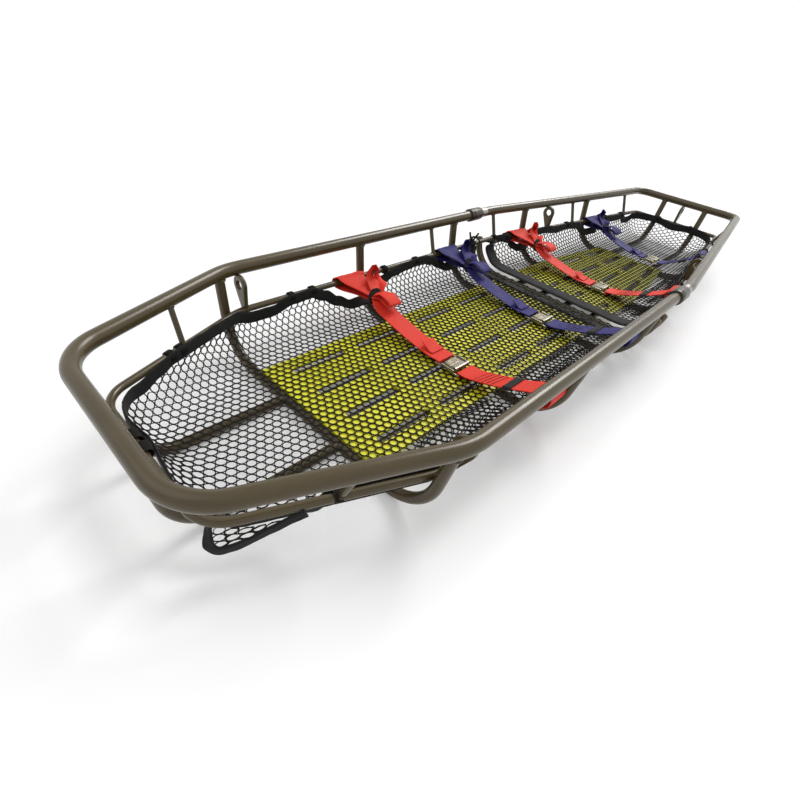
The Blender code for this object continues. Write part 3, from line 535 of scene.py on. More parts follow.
def add_relief(tree, node, height, strength, distance):
    """Turns a height into the shader's relief."""
    relief = add_node(tree, "ShaderNodeBump", Strength=strength, Distance=distance)
    tree.links.new(height, relief.inputs["Height"])
    tree.links.new(relief.outputs["Normal"], node.inputs["Normal"])


def new_group(name, inputs, outputs):
    """An empty node group with the named sockets."""
    group = bpy.data.node_groups.new(name, "ShaderNodeTree")
    for sockets, way in ((inputs, "INPUT"), (outputs, "OUTPUT")):
        for label, kind in sockets:
            group.interface.new_socket(label, in_out=way, socket_type=f"NodeSocket{kind}")
    return group, group.nodes.new("NodeGroupInput"), group.nodes.new("NodeGroupOutput")


def mottle_group():
    """Colour that drifts between two tones, with a fine grain height and a roughness mask."""
    found = bpy.data.node_groups.get("Mottle")
    if found:
        return found
    group, start, end = new_group(
        "Mottle",
        [("Tone A", "Color"), ("Tone B", "Color"), ("Drift Scale", "Float"), ("Grain Scale", "Float")],
        [("Color", "Color"), ("Height", "Float"), ("Mask", "Float")],
    )
    links = group.links
    where = add_node(group, "ShaderNodeTexCoord")
    drift = add_node(group, "ShaderNodeTexNoise", Detail=6.0, Roughness=0.62)
    grain = add_node(group, "ShaderNodeTexNoise", Detail=3.0)
    curve = add_node(group, "ShaderNodeMapRange", From_Min=0.32, From_Max=0.68)
    links.new(where.outputs["Object"], drift.inputs["Vector"])
    links.new(where.outputs["Object"], grain.inputs["Vector"])
    links.new(start.outputs["Drift Scale"], drift.inputs["Scale"])
    links.new(start.outputs["Grain Scale"], grain.inputs["Scale"])
    links.new(drift.outputs["Fac"], curve.inputs["Value"])
    mix = mix_colours(group, curve.outputs["Result"], start.outputs["Tone A"])
    links.new(start.outputs["Tone B"], mix.inputs["B"])
    links.new(mix.outputs["Result"], end.inputs["Color"])
    links.new(grain.outputs["Fac"], end.inputs["Height"])
    links.new(curve.outputs["Result"], end.inputs["Mask"])
    return group


def math_step(tree, operation, *values):
    """A Math node's output: each value is a socket or a number."""
    node = tree.nodes.new("ShaderNodeMath")
    node.operation = operation
    for socket, value in zip(node.inputs, values):
        if isinstance(value, float):
            socket.default_value = value
        else:
            tree.links.new(value, socket)
    return node.outputs[0]


def weave_group():
    """A plain weave on the piece's own UV map, in metres, with its height and a mask that is highest in the
    hollows between the threads, for painted shade there.
    """
    found = bpy.data.node_groups.get("Weave")
    if found:
        return found
    group, start, end = new_group("Weave", [("Pitch Across", "Float"), ("Pitch Along", "Float")],
                                  [("Height", "Float"), ("Mask", "Float")])

    def swell(place, power):
        """A thread's rise over the middle of each whole step of its place."""
        wave = math_step(group, "SINE", math_step(group, "MULTIPLY", place, math.pi))
        return math_step(group, "POWER", math_step(group, "ABSOLUTE", wave), power)

    uv = add_node(group, "ShaderNodeTexCoord")
    split = add_node(group, "ShaderNodeSeparateXYZ")
    group.links.new(uv.outputs["UV"], split.inputs["Vector"])
    u = math_step(group, "DIVIDE", split.outputs["X"], start.outputs["Pitch Across"])
    v = math_step(group, "DIVIDE", split.outputs["Y"], start.outputs["Pitch Along"])
    half_step = math_step(group, "MULTIPLY", math_step(group, "FLOOR", v), 0.5)
    shifted = math_step(group, "ADD", u, half_step)
    height = math_step(group, "MULTIPLY", swell(shifted, 0.6), swell(v, 0.5))
    group.links.new(height, end.inputs["Height"])
    # The mask is one less the height, so it is highest in the hollows, where the webbing finish paints
    # shade.
    group.links.new(math_step(group, "SUBTRACT", 1.0, height), end.inputs["Mask"])
    return group


def shader(name, roughness, metallic=0.0, **plain):
    """A material whose Principled shader has its uniform values set on its own sockets."""
    made = bpy.data.materials.get(name)
    if made:
        return made, None
    made = bpy.data.materials.new(name)
    made.use_nodes = True
    node = made.node_tree.nodes["Principled BSDF"]
    set_inputs(node, {"Roughness": roughness, "Metallic": metallic, **plain})
    return made, node


def mottled(name, tone_a, tone_b, roughness, drift, grain, bump, metallic=0.0, **plain):
    """A finish with drifting colour and roughness, and a grain unless its bump is zero."""
    made, node = shader(name, roughness, metallic, **plain)
    if node is None:
        return made
    tree = made.node_tree
    group = use_group(tree, mottle_group(), Tone_A=(*tone_a, 1.0), Tone_B=(*tone_b, 1.0),
                      Drift_Scale=drift, Grain_Scale=grain)
    tree.links.new(group.outputs["Color"], node.inputs["Base Color"])
    rough = add_node(tree, "ShaderNodeMapRange",
                     To_Min=roughness - ROUGH_DRIFT, To_Max=roughness + ROUGH_DRIFT)
    tree.links.new(group.outputs["Mask"], rough.inputs["Value"])
    tree.links.new(rough.outputs["Result"], node.inputs["Roughness"])
    if bump:
        add_relief(tree, node, group.outputs["Height"], bump, GRAIN_DEPTH)
    return made


def woven(name, tone, dark, pitch_across, pitch_along, roughness):
    """A webbing finish: a weave on the UV map over a slight colour drift, with painted shade that darkens
    the weave's hollows towards a darker tone.
    """
    made = bpy.data.materials.get(name)
    if made:
        return made
    bright = tuple(min(1.0, 1.12 * c) for c in tone)
    made = mottled(name, tone, bright, roughness, 22.0, 1500.0, 0.0,
                   Sheen_Weight=0.04, Sheen_Roughness=0.5, Specular_IOR_Level=0.25)
    tree = made.node_tree
    node = tree.nodes["Principled BSDF"]
    weave = use_group(tree, weave_group(), Pitch_Across=pitch_across, Pitch_Along=pitch_along)
    # Painted shade: the colour is mixed towards the darker tone where the weave is low.
    hollow_shade_share = add_node(tree, "ShaderNodeMapRange", From_Min=0.25, To_Max=0.55)
    tree.links.new(weave.outputs["Mask"], hollow_shade_share.inputs["Value"])
    mix = mix_colours(tree, hollow_shade_share.outputs["Result"], node.inputs["Base Color"].links[0].from_socket)
    mix.inputs["B"].default_value = (*dark, 1.0)
    tree.links.new(mix.outputs["Result"], node.inputs["Base Color"])
    add_relief(tree, node, weave.outputs["Height"], 0.5, WEAVE_DEPTH)
    return made


def toned(colour, share):
    """A colour made lighter or darker."""
    return tuple(share * c for c in colour)


def powder_coat():
    """The frame's satin coat."""
    tone = tuple(finishes().coat)
    return mottled("Satin Powder Coat", tone, toned(tone, 1.3), 0.27, 9.0, 900.0, 0.10, 0.08,
                   Specular_IOR_Level=0.36, Coat_Weight=0.15, Coat_Roughness=0.22)


def dark_steel():
    """The collars' steel."""
    return mottled("Dark Collar Steel", (0.050, 0.046, 0.040), (0.085, 0.078, 0.068), 0.34, 30.0, 1200.0,
                   0.12, 0.85)


def bare_steel():
    """The tube that the collars have scraped bare."""
    return mottled("Scratched Bare Steel", (0.42, 0.40, 0.37), (0.16, 0.15, 0.14), 0.33, 70.0, 1600.0,
                   0.2, 1.0)


def sheet_plastic():
    """The bed sheets' scuffed plastic."""
    red, green, blue = finishes().sheet
    return mottled("Fluorescent Sheet Plastic", (red, green, blue), (red * 0.84, green * 0.86, blue), 0.42,
                   5.0, 450.0, 0.12)


def net_cord():
    """The net's cord."""
    return mottled("Black Net Cord", (0.006, 0.005, 0.004), (0.013, 0.011, 0.009), 0.75, 60.0, 1800.0,
                   0.3, Specular_IOR_Level=0.2)


def binding_tape():
    """The black tape of the hems, the keepers and the knots."""
    # The second, darker tone is painted shade in the weave's hollows.
    return woven("Black Binding Tape", (0.009, 0.009, 0.009), (0.003, 0.003, 0.003), 0.0018, 0.0026, 0.75)


def webbing(colour):
    """The straps' webbing, red or blue."""
    tone = tuple(getattr(finishes(), colour))
    # The tone made darker is painted shade in the weave's hollows.
    return woven(f"{colour.title()} Webbing", tone, toned(tone, 0.42), 0.0030, 0.0022, 0.62)


def webbing_thread(colour):
    """The straps' stitching, darker than their webbing."""
    tone = toned(getattr(finishes(), colour), 0.30)
    return mottled(f"{colour.title()} Stitching", tone, toned(tone, 0.5), 0.7, 90.0, 2200.0, 0.2)


def buckle_metal():
    """The buckles' dull plating."""
    return mottled("Dull Plated Buckle", (0.47, 0.44, 0.35), (0.32, 0.29, 0.23), 0.30, 60.0, 1100.0,
                   0.1, 0.95)


# Frame


def tube(node, runs, sides, domed=False):
    """One piece of round tubes in place of a node.

    Each run has its path, its radius and the way its section looks up."""
    body = bmesh.new()
    for path, radius, up in runs:
        path = [Vector(p) for p in path]
        scales = None
        if domed and len(path) > 2:
            path, scales = domed_path(path, radius)
        sweep(body, round_section(radius, sides), path_frames(path, up), scales)
    half = "head_half" if "head" in node else "foot_half"
    make_piece(piece_name(node), body, powder_coat(), half, [node])


def domed_path(path, radius):
    """The path drawn out at both ends, with the sizes that close each end in a dome."""
    caps = [(0.5 * math.sin(turn) * radius, math.cos(turn)) for turn in (0.5, 0.95, 1.3)]
    first, last = (path[0] - path[1]).normalized(), (path[-1] - path[-2]).normalized()
    front = [path[0] + first * reach for reach, _ in reversed(caps)]
    back = [path[-1] + last * reach for reach, _ in caps]
    closing = [size for _, size in caps]
    scales = closing[::-1] + [1.0] * len(path) + closing
    return front + path + back, [(size, size) for size in scales]


def bead(body, centre, axis, major, minor):
    """A weld bead: a ring of small uneven ripples round a tube's end."""
    turn = Z.rotation_difference(axis).to_matrix()
    ring = []
    for k in range(41):
        angle = 2 * math.pi * k / 40
        lump = 1.0 + 0.03 * math.sin(9 * angle)
        ring.append(centre + turn @ Vector((math.cos(angle), math.sin(angle), 0.0)) * major * lump)
    sweep(body, round_section(minor, 8), path_frames(ring, axis))


def stringer_y(station, line):
    """How far from the middle a stringer is at a station: the lines close up where the bed narrows."""
    half = min(SHEET_HALF_WIDTH, width_at(station) - FLOOR_INSET - SHEET_MARGIN)
    return line * half / SHEET_HALF_WIDTH


def rib_paths(half, index):
    """A rib's hoop and the stringers that run on from it to the next hoop."""
    node, station = HOOPS[half][index]
    radius = sizes().rib_radius
    top = MID_Z + SHORT_HOOP_RISE if node.startswith("split") else RAIL_Z
    paths = [(hoop_path(station, top, radius), radius, X)]
    if index + 1 < len(HOOPS[half]):
        span = (station, HOOPS[half][index + 1][1])
        for line in STRINGER_LINES:
            for _, sign in SIDES:
                ends = [(x_at(s), sign * stringer_y(s, line), radius - STRINGER_DROP) for s in span]
                paths.append((ends, STRINGER_RADIUS, Z))
    return paths


def end_station(half, inset):
    """The station of a point set in from a half's closed end."""
    return inset if half == "head" else LENGTH - inset


def build_rails():
    """The top and mid rails. The foot half's first rods are welded to its mid rail."""
    panel = sizes()
    for half, way in HALVES:
        top = end_loop(half, 0.0, RAIL_Z, SPLIT - SPLIT_GAP if half == "head" else SPLIT)
        tube(f"top_rail_{half}", [(top, panel.rail_radius, Z)], 32)
        station = SPLIT + way * MID_BREAK / 2
        mid = [(end_loop(half, MID_INSET, MID_Z, station), panel.mid_rail_radius, Z)]
        if half == "foot":
            mid += [(rod_path(RODS[half][0], sign), panel.rod_radius, X) for _, sign in SIDES]
        tube(f"mid_rail_{half}", mid, 20)


def rod_path(station, sign):
    """A thin rod from the top rail's centre line down to the mid rail's."""
    x = x_at(station)
    return [(x, sign * width_at(station), RAIL_Z), (x, sign * width_at(station, MID_INSET), MID_Z)]


def build_ribs():
    """The ribs, the low hoops beside the split, the end hoops and the thin rods."""
    panel = sizes()
    for half, _ in HALVES:
        for index, (node, _) in enumerate(HOOPS[half]):
            tube(node, rib_paths(half, index), 20, node.startswith("split"))
    for half, _ in HALVES:
        plan = ((end_station(half, RIB_TOP_INSET), RAIL_Z),
                (end_station(half, FLOOR_CORNER_INSET), panel.rib_radius),
                (RIBS[half][0 if half == "head" else -1], panel.rib_radius))
        for side, sign in SIDES:
            corners = [(x_at(s), sign * END_HOOP_Y, z) for s, z in plan]
            tube(f"end_hoop_{half}_{side}", [(bent_path(corners, (RIB_BEND,)), panel.rib_radius, Y)], 20)
        for number, station in enumerate(RODS[half][0 if half == "head" else 1:], 1):
            for side, sign in SIDES:
                tube(f"rod_{half}_{number}_{side}", [(rod_path(station, sign), panel.rod_radius, X)], 16)


def build_welds():
    """Weld beads where the ribs, the end hoops and the rods meet the rails."""
    panel = sizes()
    lean = Vector((0.0, RIB_LEAN, 1.0)).normalized()
    for half, way in HALVES:
        body = bmesh.new()

        def rib_bead(top, axis):
            centre = Vector(top) - axis * (panel.rail_radius - RIB_BEAD_SINK)
            bead(body, centre, axis, panel.rib_radius + BEAD_PROUD, BEAD_RADIUS)

        for station in RIBS[half]:
            for _, sign in SIDES:
                rib_bead((x_at(station), sign * (width_at(station) - RIB_TOP_INSET), RAIL_Z),
                         Vector((0.0, sign * lean.y, lean.z)))
        for station in RODS[half]:
            for _, sign in SIDES:
                high, low = (Vector(p) for p in rod_path(station, sign))
                axis = (high - low).normalized()
                for centre in (high - axis * (panel.rail_radius - ROD_TOP_SINK),
                               low + axis * (panel.mid_rail_radius - ROD_FOOT_SINK)):
                    bead(body, centre, axis, panel.rod_radius + BEAD_PROUD, ROD_BEAD_RADIUS)
        for _, sign in SIDES:
            rib_bead((x_at(end_station(half, RIB_TOP_INSET)), sign * END_HOOP_Y, RAIL_Z),
                     Vector((way * RIB_LEAN, 0.0, 1.0)).normalized())
        make_piece(f"WeldBeads{half.title()}", body, powder_coat(), f"{half}_half",
                   smooth=60.0)


def build_collars():
    """The two turned collars, with a rolled rim and a groove, and the bare tube beside them."""
    tube_radius = sizes().rail_radius
    rail, outside = tube_radius + COLLAR_PLAY, COLLAR_RADIUS
    profile = [
        (0.0139, rail), (0.0140, rail + 0.0012), (0.0122, rail + 0.0024), (0.0066, outside - 0.0004),
        (0.0058, outside), (-0.0268, outside), (-0.0272, outside - 0.0011), (-0.0296, outside - 0.0011),
        (-0.0300, outside), (-0.0385, outside), (-0.0396, outside - 0.0006), (-0.0400, outside - 0.0014),
        (-0.0400, rail + 0.0002), (-0.0398, rail),
    ]
    for side, sign in SIDES:
        body = bmesh.new()
        first = [body.verts.new((x, 0.0, r)) for x, r in profile]
        bmesh.ops.spin(body, geom=first + close_loop(body, first), cent=(0, 0, 0), axis=X,
                       angle=2 * math.pi, steps=64, use_merge=True)
        bmesh.ops.translate(body, vec=(x_at(SPLIT), sign * HALF_WIDTH, RAIL_Z), verts=body.verts)
        make_piece(f"LockCollar{side.title()}", body, dark_steel(), f"collar_{side}",
                   [f"lock_collar_{side}"], 30.0)
        body = bmesh.new()
        start = Vector((x_at(SPLIT) + BARE_START, sign * HALF_WIDTH, RAIL_Z))
        frames = path_frames([start, start + X * BARE_LENGTH])
        sweep(body, round_section(tube_radius + BARE_PROUD, 32), frames)
        make_piece(f"BareTube{side.title()}", body, bare_steel(), "foot_half")


def lug_outline():
    """A drop: a wide turn round the hook hole and a small one at the mid rail."""
    head, foot = Vector(LUG_HEAD), Vector(LUG_FOOT)
    along = math.atan2(foot.y - head.y, foot.x - head.x)
    opening = math.acos((LUG_RING - LUG_FOOT_RING) / (head - foot).length)
    outline = [head + Vector(p) * LUG_RING for p in arc(along + opening, 2 * math.pi - 2 * opening, 33)]
    return outline + [foot + Vector(p) * LUG_FOOT_RING for p in arc(along - opening, 2 * opening, 7)]


def build_lugs():
    """The lifting lugs: drop-shaped plates with a rounded edge and a hook hole."""
    plans = []
    for half, station in LUG_STATIONS:
        for side, sign in SIDES:
            plans.append((f"lift_lug_{half}_{side}", Vector((0, -sign, 0)), Vector((-sign, 0, 0)),
                          Vector((x_at(station), sign * width_at(station), RAIL_Z))))
    plans.append(("lift_lug_foot_end", -X, Y, Vector((x_at(LENGTH), 0, RAIL_Z))))
    for node, inward, through, centre in plans:
        body = bmesh.new()
        outer = [body.verts.new((x, y, 0.0)) for x, y in lug_outline()]
        inner = bmesh.ops.create_circle(body, segments=len(outer), radius=LUG_HOLE, cap_ends=False,
                                        matrix=Matrix.Translation((*LUG_HEAD, 0.0)))["verts"]
        edges = close_loop(body, outer) + list({e for v in inner for e in v.link_edges})
        bmesh.ops.bridge_loops(body, edges=edges)
        raise_faces(body, list(body.faces), Z * LUG_THICKNESS)
        round_rims(body, 1.2, 0.0011, 3)
        place = place_frame(inward, Z, through, centre - through * LUG_THICKNESS / 2)
        bmesh.ops.transform(body, matrix=place, verts=body.verts)
        half = "head_half" if "head" in node else "foot_half"
        make_piece(piece_name(node), body, powder_coat(), half, [node], 30.0)


# Bed


def build_sheets():
    """The slotted bed sheets keep their solid shape and take a scuffed plastic finish."""
    for node in ("bed_sheet_head_1", "bed_sheet_head_2", "bed_sheet_foot_1", "bed_sheet_foot_2"):
        sheet = bpy.data.objects[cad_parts[node].name]
        sheet.data.materials.clear()
        sheet.data.materials.append(sheet_plastic())


class NetShape:
    """The surface that a half's net lies on: a floor that sweeps up to the mid rail all round."""

    floor_z = 0.0262
    edge_inset = 0.1060
    bend_radius = 0.0780
    bend_turn = 62.0
    bend_steps = 12
    shoulder_inset, shoulder_z = 0.0370, 0.0830
    top_inset, top_z = 0.0369, 0.1035
    end_reach = 0.060
    sag, settle_reach = 0.0012, 0.03
    ripple = 0.0030
    lashing = (0.052, 0.026, 0.080)
    lashing_pull, lashing_reach = 0.64, 0.062

    def __init__(self, half):
        self.half = half
        head, shoulder, _, foot = inset_corners(self.edge_inset)
        if half == "head":
            self.open_station = HEAD_NET_END
            self.corners = [(self.open_station, shoulder[1]), shoulder, head]
        else:
            self.open_station = FOOT_NET_START
            self.corners = [(self.open_station, width_at(self.open_station, self.edge_inset)), foot]
        self.corners += [(s, -y) for s, y in reversed(self.corners)]
        self.segments = list(zip(self.corners, self.corners[1:]))
        self.profile = self.make_profile()
        self.wall = self.profile[-1][0]

    def make_profile(self):
        """Arc length, outward reach and height from the floor's edge up to the hem's top."""
        line = []
        for k in range(self.bend_steps + 1):
            turn = math.radians(self.bend_turn * k / self.bend_steps)
            rise = self.bend_radius * (1 - math.cos(turn))
            line.append((self.bend_radius * math.sin(turn), self.floor_z + rise))
        line.append((self.edge_inset - self.shoulder_inset, self.shoulder_z))
        line.append((self.edge_inset - self.top_inset, self.top_z))
        profile, travel = [(0.0, *line[0])], 0.0
        for (r0, z0), (r1, z1) in zip(line, line[1:]):
            travel += math.hypot(r1 - r0, z1 - z0)
            profile.append((travel, r1, z1))
        return profile

    def edge(self, s, y):
        """Distance from the floor's edge, and the nearest point on that edge."""
        best = (math.inf, None)
        for (s0, y0), (s1, y1) in self.segments:
            ds, dy = s1 - s0, y1 - y0
            share = ((s - s0) * ds + (y - y0) * dy) / (ds * ds + dy * dy)
            share = max(0.0, min(1.0, share))
            near = (s0 + share * ds, y0 + share * dy)
            best = min(best, (math.hypot(s - near[0], y - near[1]), near))
        return best

    def inside(self, s, y):
        """Whether a point is within the floor."""
        result = False
        for (s0, y0), (s1, y1) in zip(self.corners, self.corners[1:] + self.corners[:1]):
            if (y0 > y) != (y1 > y) and s < s0 + (y - y0) * (s1 - s0) / (y1 - y0):
                result = not result
        return result

    def rise(self, distance):
        """How far out and how high the net is, this far up from the floor's edge."""
        for (t0, r0, z0), (t1, r1, z1) in zip(self.profile, self.profile[1:]):
            if distance <= t1:
                break
        share = (distance - t0) / (t1 - t0)
        return r0 + (r1 - r0) * share, z0 + (z1 - z0) * share

    def hem_drop(self, near, outward):
        """How far the hem hangs below its full height above a point of the floor's edge."""
        reach = self.profile[-1][1]
        s, y = near[0] + outward[0] * reach, near[1] + outward[1] * reach
        if s < self.end_reach if self.half == "head" else s > LENGTH - self.end_reach:
            return read_table(HEM_END[self.half], y)
        return read_table((HEM_FAR if y > 0 else HEM_NEAR)[self.half], s)

    def place(self, s, y):
        """Where a point of the flat net comes to lie."""
        limit = self.open_station + (-1e-4 if self.half == "head" else 1e-4)
        held = min(s, limit) if self.half == "head" else max(s, limit)
        gap, near = self.edge(held, y)
        if self.inside(held, y):
            settle = min(1.0, gap / self.settle_reach)
            sag = self.sag * settle * noise.noise(Vector((s * 9.0, y * 9.0, 1.0)))
            return self.gather(Vector((x_at(s), y, self.floor_z + sag)))
        reach, z = self.rise(gap)
        if gap < 1e-9:
            return Vector((x_at(near[0]), near[1], z))
        ds, dy = (held - near[0]) / gap, (y - near[1]) / gap
        billow = math.sin(min(1.0, gap / self.wall) * math.pi)
        ripple = self.ripple * billow * noise.noise(Vector((s * 12.0, y * 12.0, 5.0)))
        reach += 0.5 * ripple
        place = Vector((x_at(near[0] + ds * reach + s - held), near[1] + dy * reach, z + ripple))
        return self.gather(place)

    def gather(self, point):
        """The net is drawn together where it is lashed to the head end's mid rail."""
        if self.half == "foot":
            return point
        station, y, z = self.lashing
        lashed = Vector((x_at(station), y, z))
        pull = self.lashing_pull * math.exp(-(((point - lashed).length / self.lashing_reach) ** 2))
        return point.lerp(lashed, pull)


def cell_shape(pitch):
    """A six-sided cell with points towards +Y and -Y, and with a point halfway along each side."""
    body = bmesh.new()
    verts = bmesh.ops.create_circle(body, segments=12, radius=pitch / math.sqrt(3), cap_ends=True)["verts"]
    for vertex in verts[1::2]:
        vertex.co *= math.cos(math.pi / 6)
    bmesh.ops.rotate(body, cent=(0, 0, 0), matrix=Matrix.Rotation(math.pi / 6, 3, "Z"), verts=body.verts)
    shape = [v.co.copy() for v in verts]
    body.free()
    return shape


def net_sheet(low, high, keep, squash=NET_SQUASH):
    """A flat net between two corners, of the cells that are kept; its faces are the cords."""
    pitch, cord = sizes().net_pitch, sizes().net_cord
    cell = [Vector((p.x, p.y * squash, 0.0)) for p in cell_shape(pitch)]
    row_step = 1.5 * pitch / math.sqrt(3) * squash
    out = bmesh.new()
    for row in range(math.floor(low[1] / row_step), math.ceil(high[1] / row_step) + 1):
        for column in range(math.ceil((high[0] - low[0]) / pitch)):
            s, y = low[0] + (column + 0.5 * (row % 2)) * pitch, row * row_step
            if keep(s, y):
                ring = bmesh.ops.create_circle(out, segments=12, radius=pitch, cap_ends=True)["verts"]
                for vertex, point in zip(ring, cell):
                    vertex.co = point + Vector((s, y, 0.0))
    bmesh.ops.remove_doubles(out, verts=out.verts, dist=0.0003)
    cells = list(out.faces)
    bmesh.ops.inset_individual(out, faces=cells, thickness=cord / 2, use_even_offset=True)
    for face in cells:
        centre = face.calc_center_median()
        size = sum((v.co - centre).length for v in face.verts) / len(face.verts)
        for vertex in face.verts:
            arm = vertex.co - centre
            vertex.co = centre + arm * (0.4 + 0.6 * size / arm.length)
    bmesh.ops.delete(out, geom=cells, context="FACES_ONLY")
    return out


def keep_cell(shape, s, y):
    """A cell is kept inside the open edge and where its middle is under the hem."""
    past_open = s - shape.open_station if shape.half == "head" else shape.open_station - s
    if past_open > -KEEP_MARGIN:
        return False
    if shape.inside(s, y):
        return True
    gap, near = shape.edge(s, y)
    outward = ((s - near[0]) / gap, (y - near[1]) / gap)
    return gap < shape.wall - shape.hem_drop(near, outward) - sizes().hem_width + KEEP_MARGIN


def build_nets():
    """The knotless net of both halves, laid over the bed and up to the mid rail."""
    for half, _ in HALVES:
        shape = NetShape(half)
        reach = shape.wall + 0.01
        stations = [s for s, _ in shape.corners]
        widest = max(y for _, y in shape.corners) + reach
        whole = net_sheet((min(stations) - reach, -widest), (max(stations) + reach, widest),
                          lambda s, y: keep_cell(shape, s, y))
        walls = [f"net_{half}_side_left", f"net_{half}_side_right", f"net_{half}_end"]
        if half == "head":
            walls += ["net_head_shoulder_left", "net_head_shoulder_right"]
        for part, nodes, held, rests in (
            ("Floor", [f"net_{half}_floor"], "laid", f"bed_sheet_{half}_1"),
            ("Walls", walls, "stretched", f"MidRail{half.title()}"),
        ):
            body = whole.copy()
            centres = [(face, face.calc_center_median()) for face in body.faces]
            unwanted = [face for face, c in centres if shape.inside(c.x, c.y) != (part == "Floor")]
            bmesh.ops.delete(body, geom=unwanted, context="FACES")
            finish_net(f"Net{half.title()}{part}", body, shape.place, half, nodes)
        whole.free()
        build_slack(half, shape)
    build_fold()
    build_flap()


def build_slack(half, shape):
    """Loose net bunched against the near wall, over the net and clear of the straps."""
    low, high = SLACK[half]

    def keep(s, y):
        clear = all(abs(s - station) > STRAP_CLEARANCE for _, _, station in STRAPS)
        return clear and low < s < high and SLACK_LOW < y < SLACK_HIGH and keep_cell(shape, s, y - 0.014)

    def place(s, y):
        climb = max(0.0, min(1.0, (-y - 0.183) / shape.bend_radius)) * math.radians(shape.bend_turn)
        bunch = [noise.noise(Vector((s * 21.0, y * 21.0, seed))) for seed in (3.0, 9.0, 15.0)]
        lift = LAYER_LIFT + 0.0012 * bunch[2]
        point = shape.place(s + 0.006 * bunch[0], y + 0.005 * bunch[1])
        return point + Vector((0.0, math.sin(climb), math.cos(climb))) * lift

    body = net_sheet((low, SLACK_LOW), (high, SLACK_HIGH), keep, SLACK_SQUASH)
    finish_net(f"Net{half.title()}Slack", body, place, half, [])


def build_fold():
    """A loose second layer of net at the head half's open edge, which hangs over the split."""
    shape = NetShape("head")
    low, high = HEAD_NET_END - FOLD_BACK, HEAD_NET_END + FOLD_OVER
    widest = shape.corners[0][1] + FOLD_SIDE

    def keep(s, y):
        return s < high - 0.008 and abs(y) < widest

    def place(s, y):
        ruck = 0.0014 * noise.noise(Vector((s * 40.0, y * 18.0, 7.0)))
        over = max(0.0, (s - HEAD_NET_END) / (high - HEAD_NET_END))
        return shape.place(s, y) + Z * (LAYER_LIFT - FOLD_DROOP * over + ruck)

    body = net_sheet((low, -widest), (high, widest), keep)
    finish_net("NetHeadFold", body, place, "head", [])


def build_flap():
    """The corner of net that hangs out under the near mid rail at the head end, with its hem."""
    top, edge = (smooth_path([(x_at(s), y, z) for s, y, z in line], 12) for line in (FLAP_TOP, FLAP_EDGE))
    length = sum((b - a).length for a, b in zip(top, top[1:]))

    def ends(s):
        share = max(0.0, min(0.999, s / length))
        return [line[int(share * len(line))] for line in (top, edge)]

    def keep(s, y):
        high, low = ends(s)
        return 0.002 < s < length - 0.004 and 0.002 < -y < (high - low).length - 0.004

    def place(s, y):
        high, low = ends(s)
        down = (low - high).normalized()
        lean = 0.0035 * noise.noise(Vector((s * 30.0, y * 30.0, 2.0)))
        return high + down * -y + Vector((0.3, -0.9, 0.0)) * lean

    body = net_sheet((0.0, -0.07), (length, 0.0), keep)
    finish_net("NetFlap", body, place, "head", [])
    above = [top[min(k * len(top) // len(edge), len(top) - 1)] for k in range(len(edge))]
    lifts = [(high - low + Z * 0.01).normalized() for high, low in zip(above, edge)]
    tape("HemFlap", standing_section(0.016, 0.0040), path_frames(edge, lifts), (0.0010, 60.0), "head_half")


def finish_net(name, body, place, half, nodes):
    flat_area = sum(f.calc_area() for f in body.faces)
    for vertex in body.verts:
        vertex.co = place(vertex.co.x, vertex.co.y)
    piece = make_piece(name, body, net_cord(), f"{half}_half", nodes, 80.0)
    cord = piece.modifiers.new("cord", "SOLIDIFY")
    cord.thickness = sizes().net_cord * CORD_FLATNESS
    cord.offset = 0.0


def hem_path(shape):
    """The middle of the hem round the half from one open end to the other, and its upward way."""
    hem = sizes().hem_width
    marks = []
    for (s0, y0), (s1, y1) in shape.segments:
        run = math.hypot(s1 - s0, y1 - y0)
        outward = Vector(((y0 - y1) / run, (s1 - s0) / run))
        middle = Vector((0.6 if shape.half == "head" else 1.6, 0.0))
        if outward.dot(Vector((s0, y0)) - middle) < 0:
            outward.negate()
        if marks:
            before = marks[-1][1]
            marks += [((s0, y0), before.slerp(outward, k / 8)) for k in range(1, 8)]
        count = max(2, round(run / HEM_STEP))
        for k in range(count + 1):
            marks.append(((s0 + (s1 - s0) * k / count, y0 + (y1 - y0) * k / count), outward))
    path, ups = [], []
    for near, outward in marks:
        top = shape.wall - shape.hem_drop(near, outward)
        high, middle, low = (hem_point(shape, near, outward, top - down) for down in (0.0, hem / 2, hem))
        if path and (middle - path[-1]).length < 0.0025:
            continue
        path.append(middle)
        ups.append((high - low).normalized())
    return path, ups


def hem_point(shape, near, outward, distance):
    """The point of a wall at a distance up from the floor's edge."""
    reach, z = shape.rise(distance)
    return shape.gather(Vector((x_at(near[0] + outward[0] * reach), near[1] + outward[1] * reach, z)))


def build_bindings():
    """The bound edges of the nets: a tape hem round the walls and a thicker one across the bed."""
    for half, _ in HALVES:
        shape = NetShape(half)
        section = standing_section(sizes().hem_width, HEM_THICKNESS)
        tape(f"Hem{half.title()}", section, path_frames(*hem_path(shape)), (0.0008, 60.0), f"{half}_half")
        shift, width, thickness = CROSS_BINDINGS[half]
        station, widest = shape.open_station + shift, shape.corners[0][1] + shape.wall - 0.012
        across = [shape.place(station, widest * (k / 40 - 1)) + Z * 0.0012 for k in range(81)]
        tape(f"CrossBinding{half.title()}", flat_section(width, thickness), path_frames(across),
             (0.0010, 45.0), f"{half}_half")


def lacing(body, centre, run, turns=4):
    """A few turns of black cord round the mid rail and the hem beside it."""
    side = Z.cross(run).normalized()
    steps = 14 * turns
    points = []
    for k in range(steps + 1):
        turn = 2 * math.pi * k / 14
        slide = (k / steps - 0.5) * turns * 2.1 * LACE_CORD
        round_rail = side * LACE_WIDE * math.cos(turn) + Z * LACE_HIGH * math.sin(turn)
        points.append(centre + run * slide + round_rail)
    sweep(body, round_section(LACE_CORD, 6), path_frames(points, run))


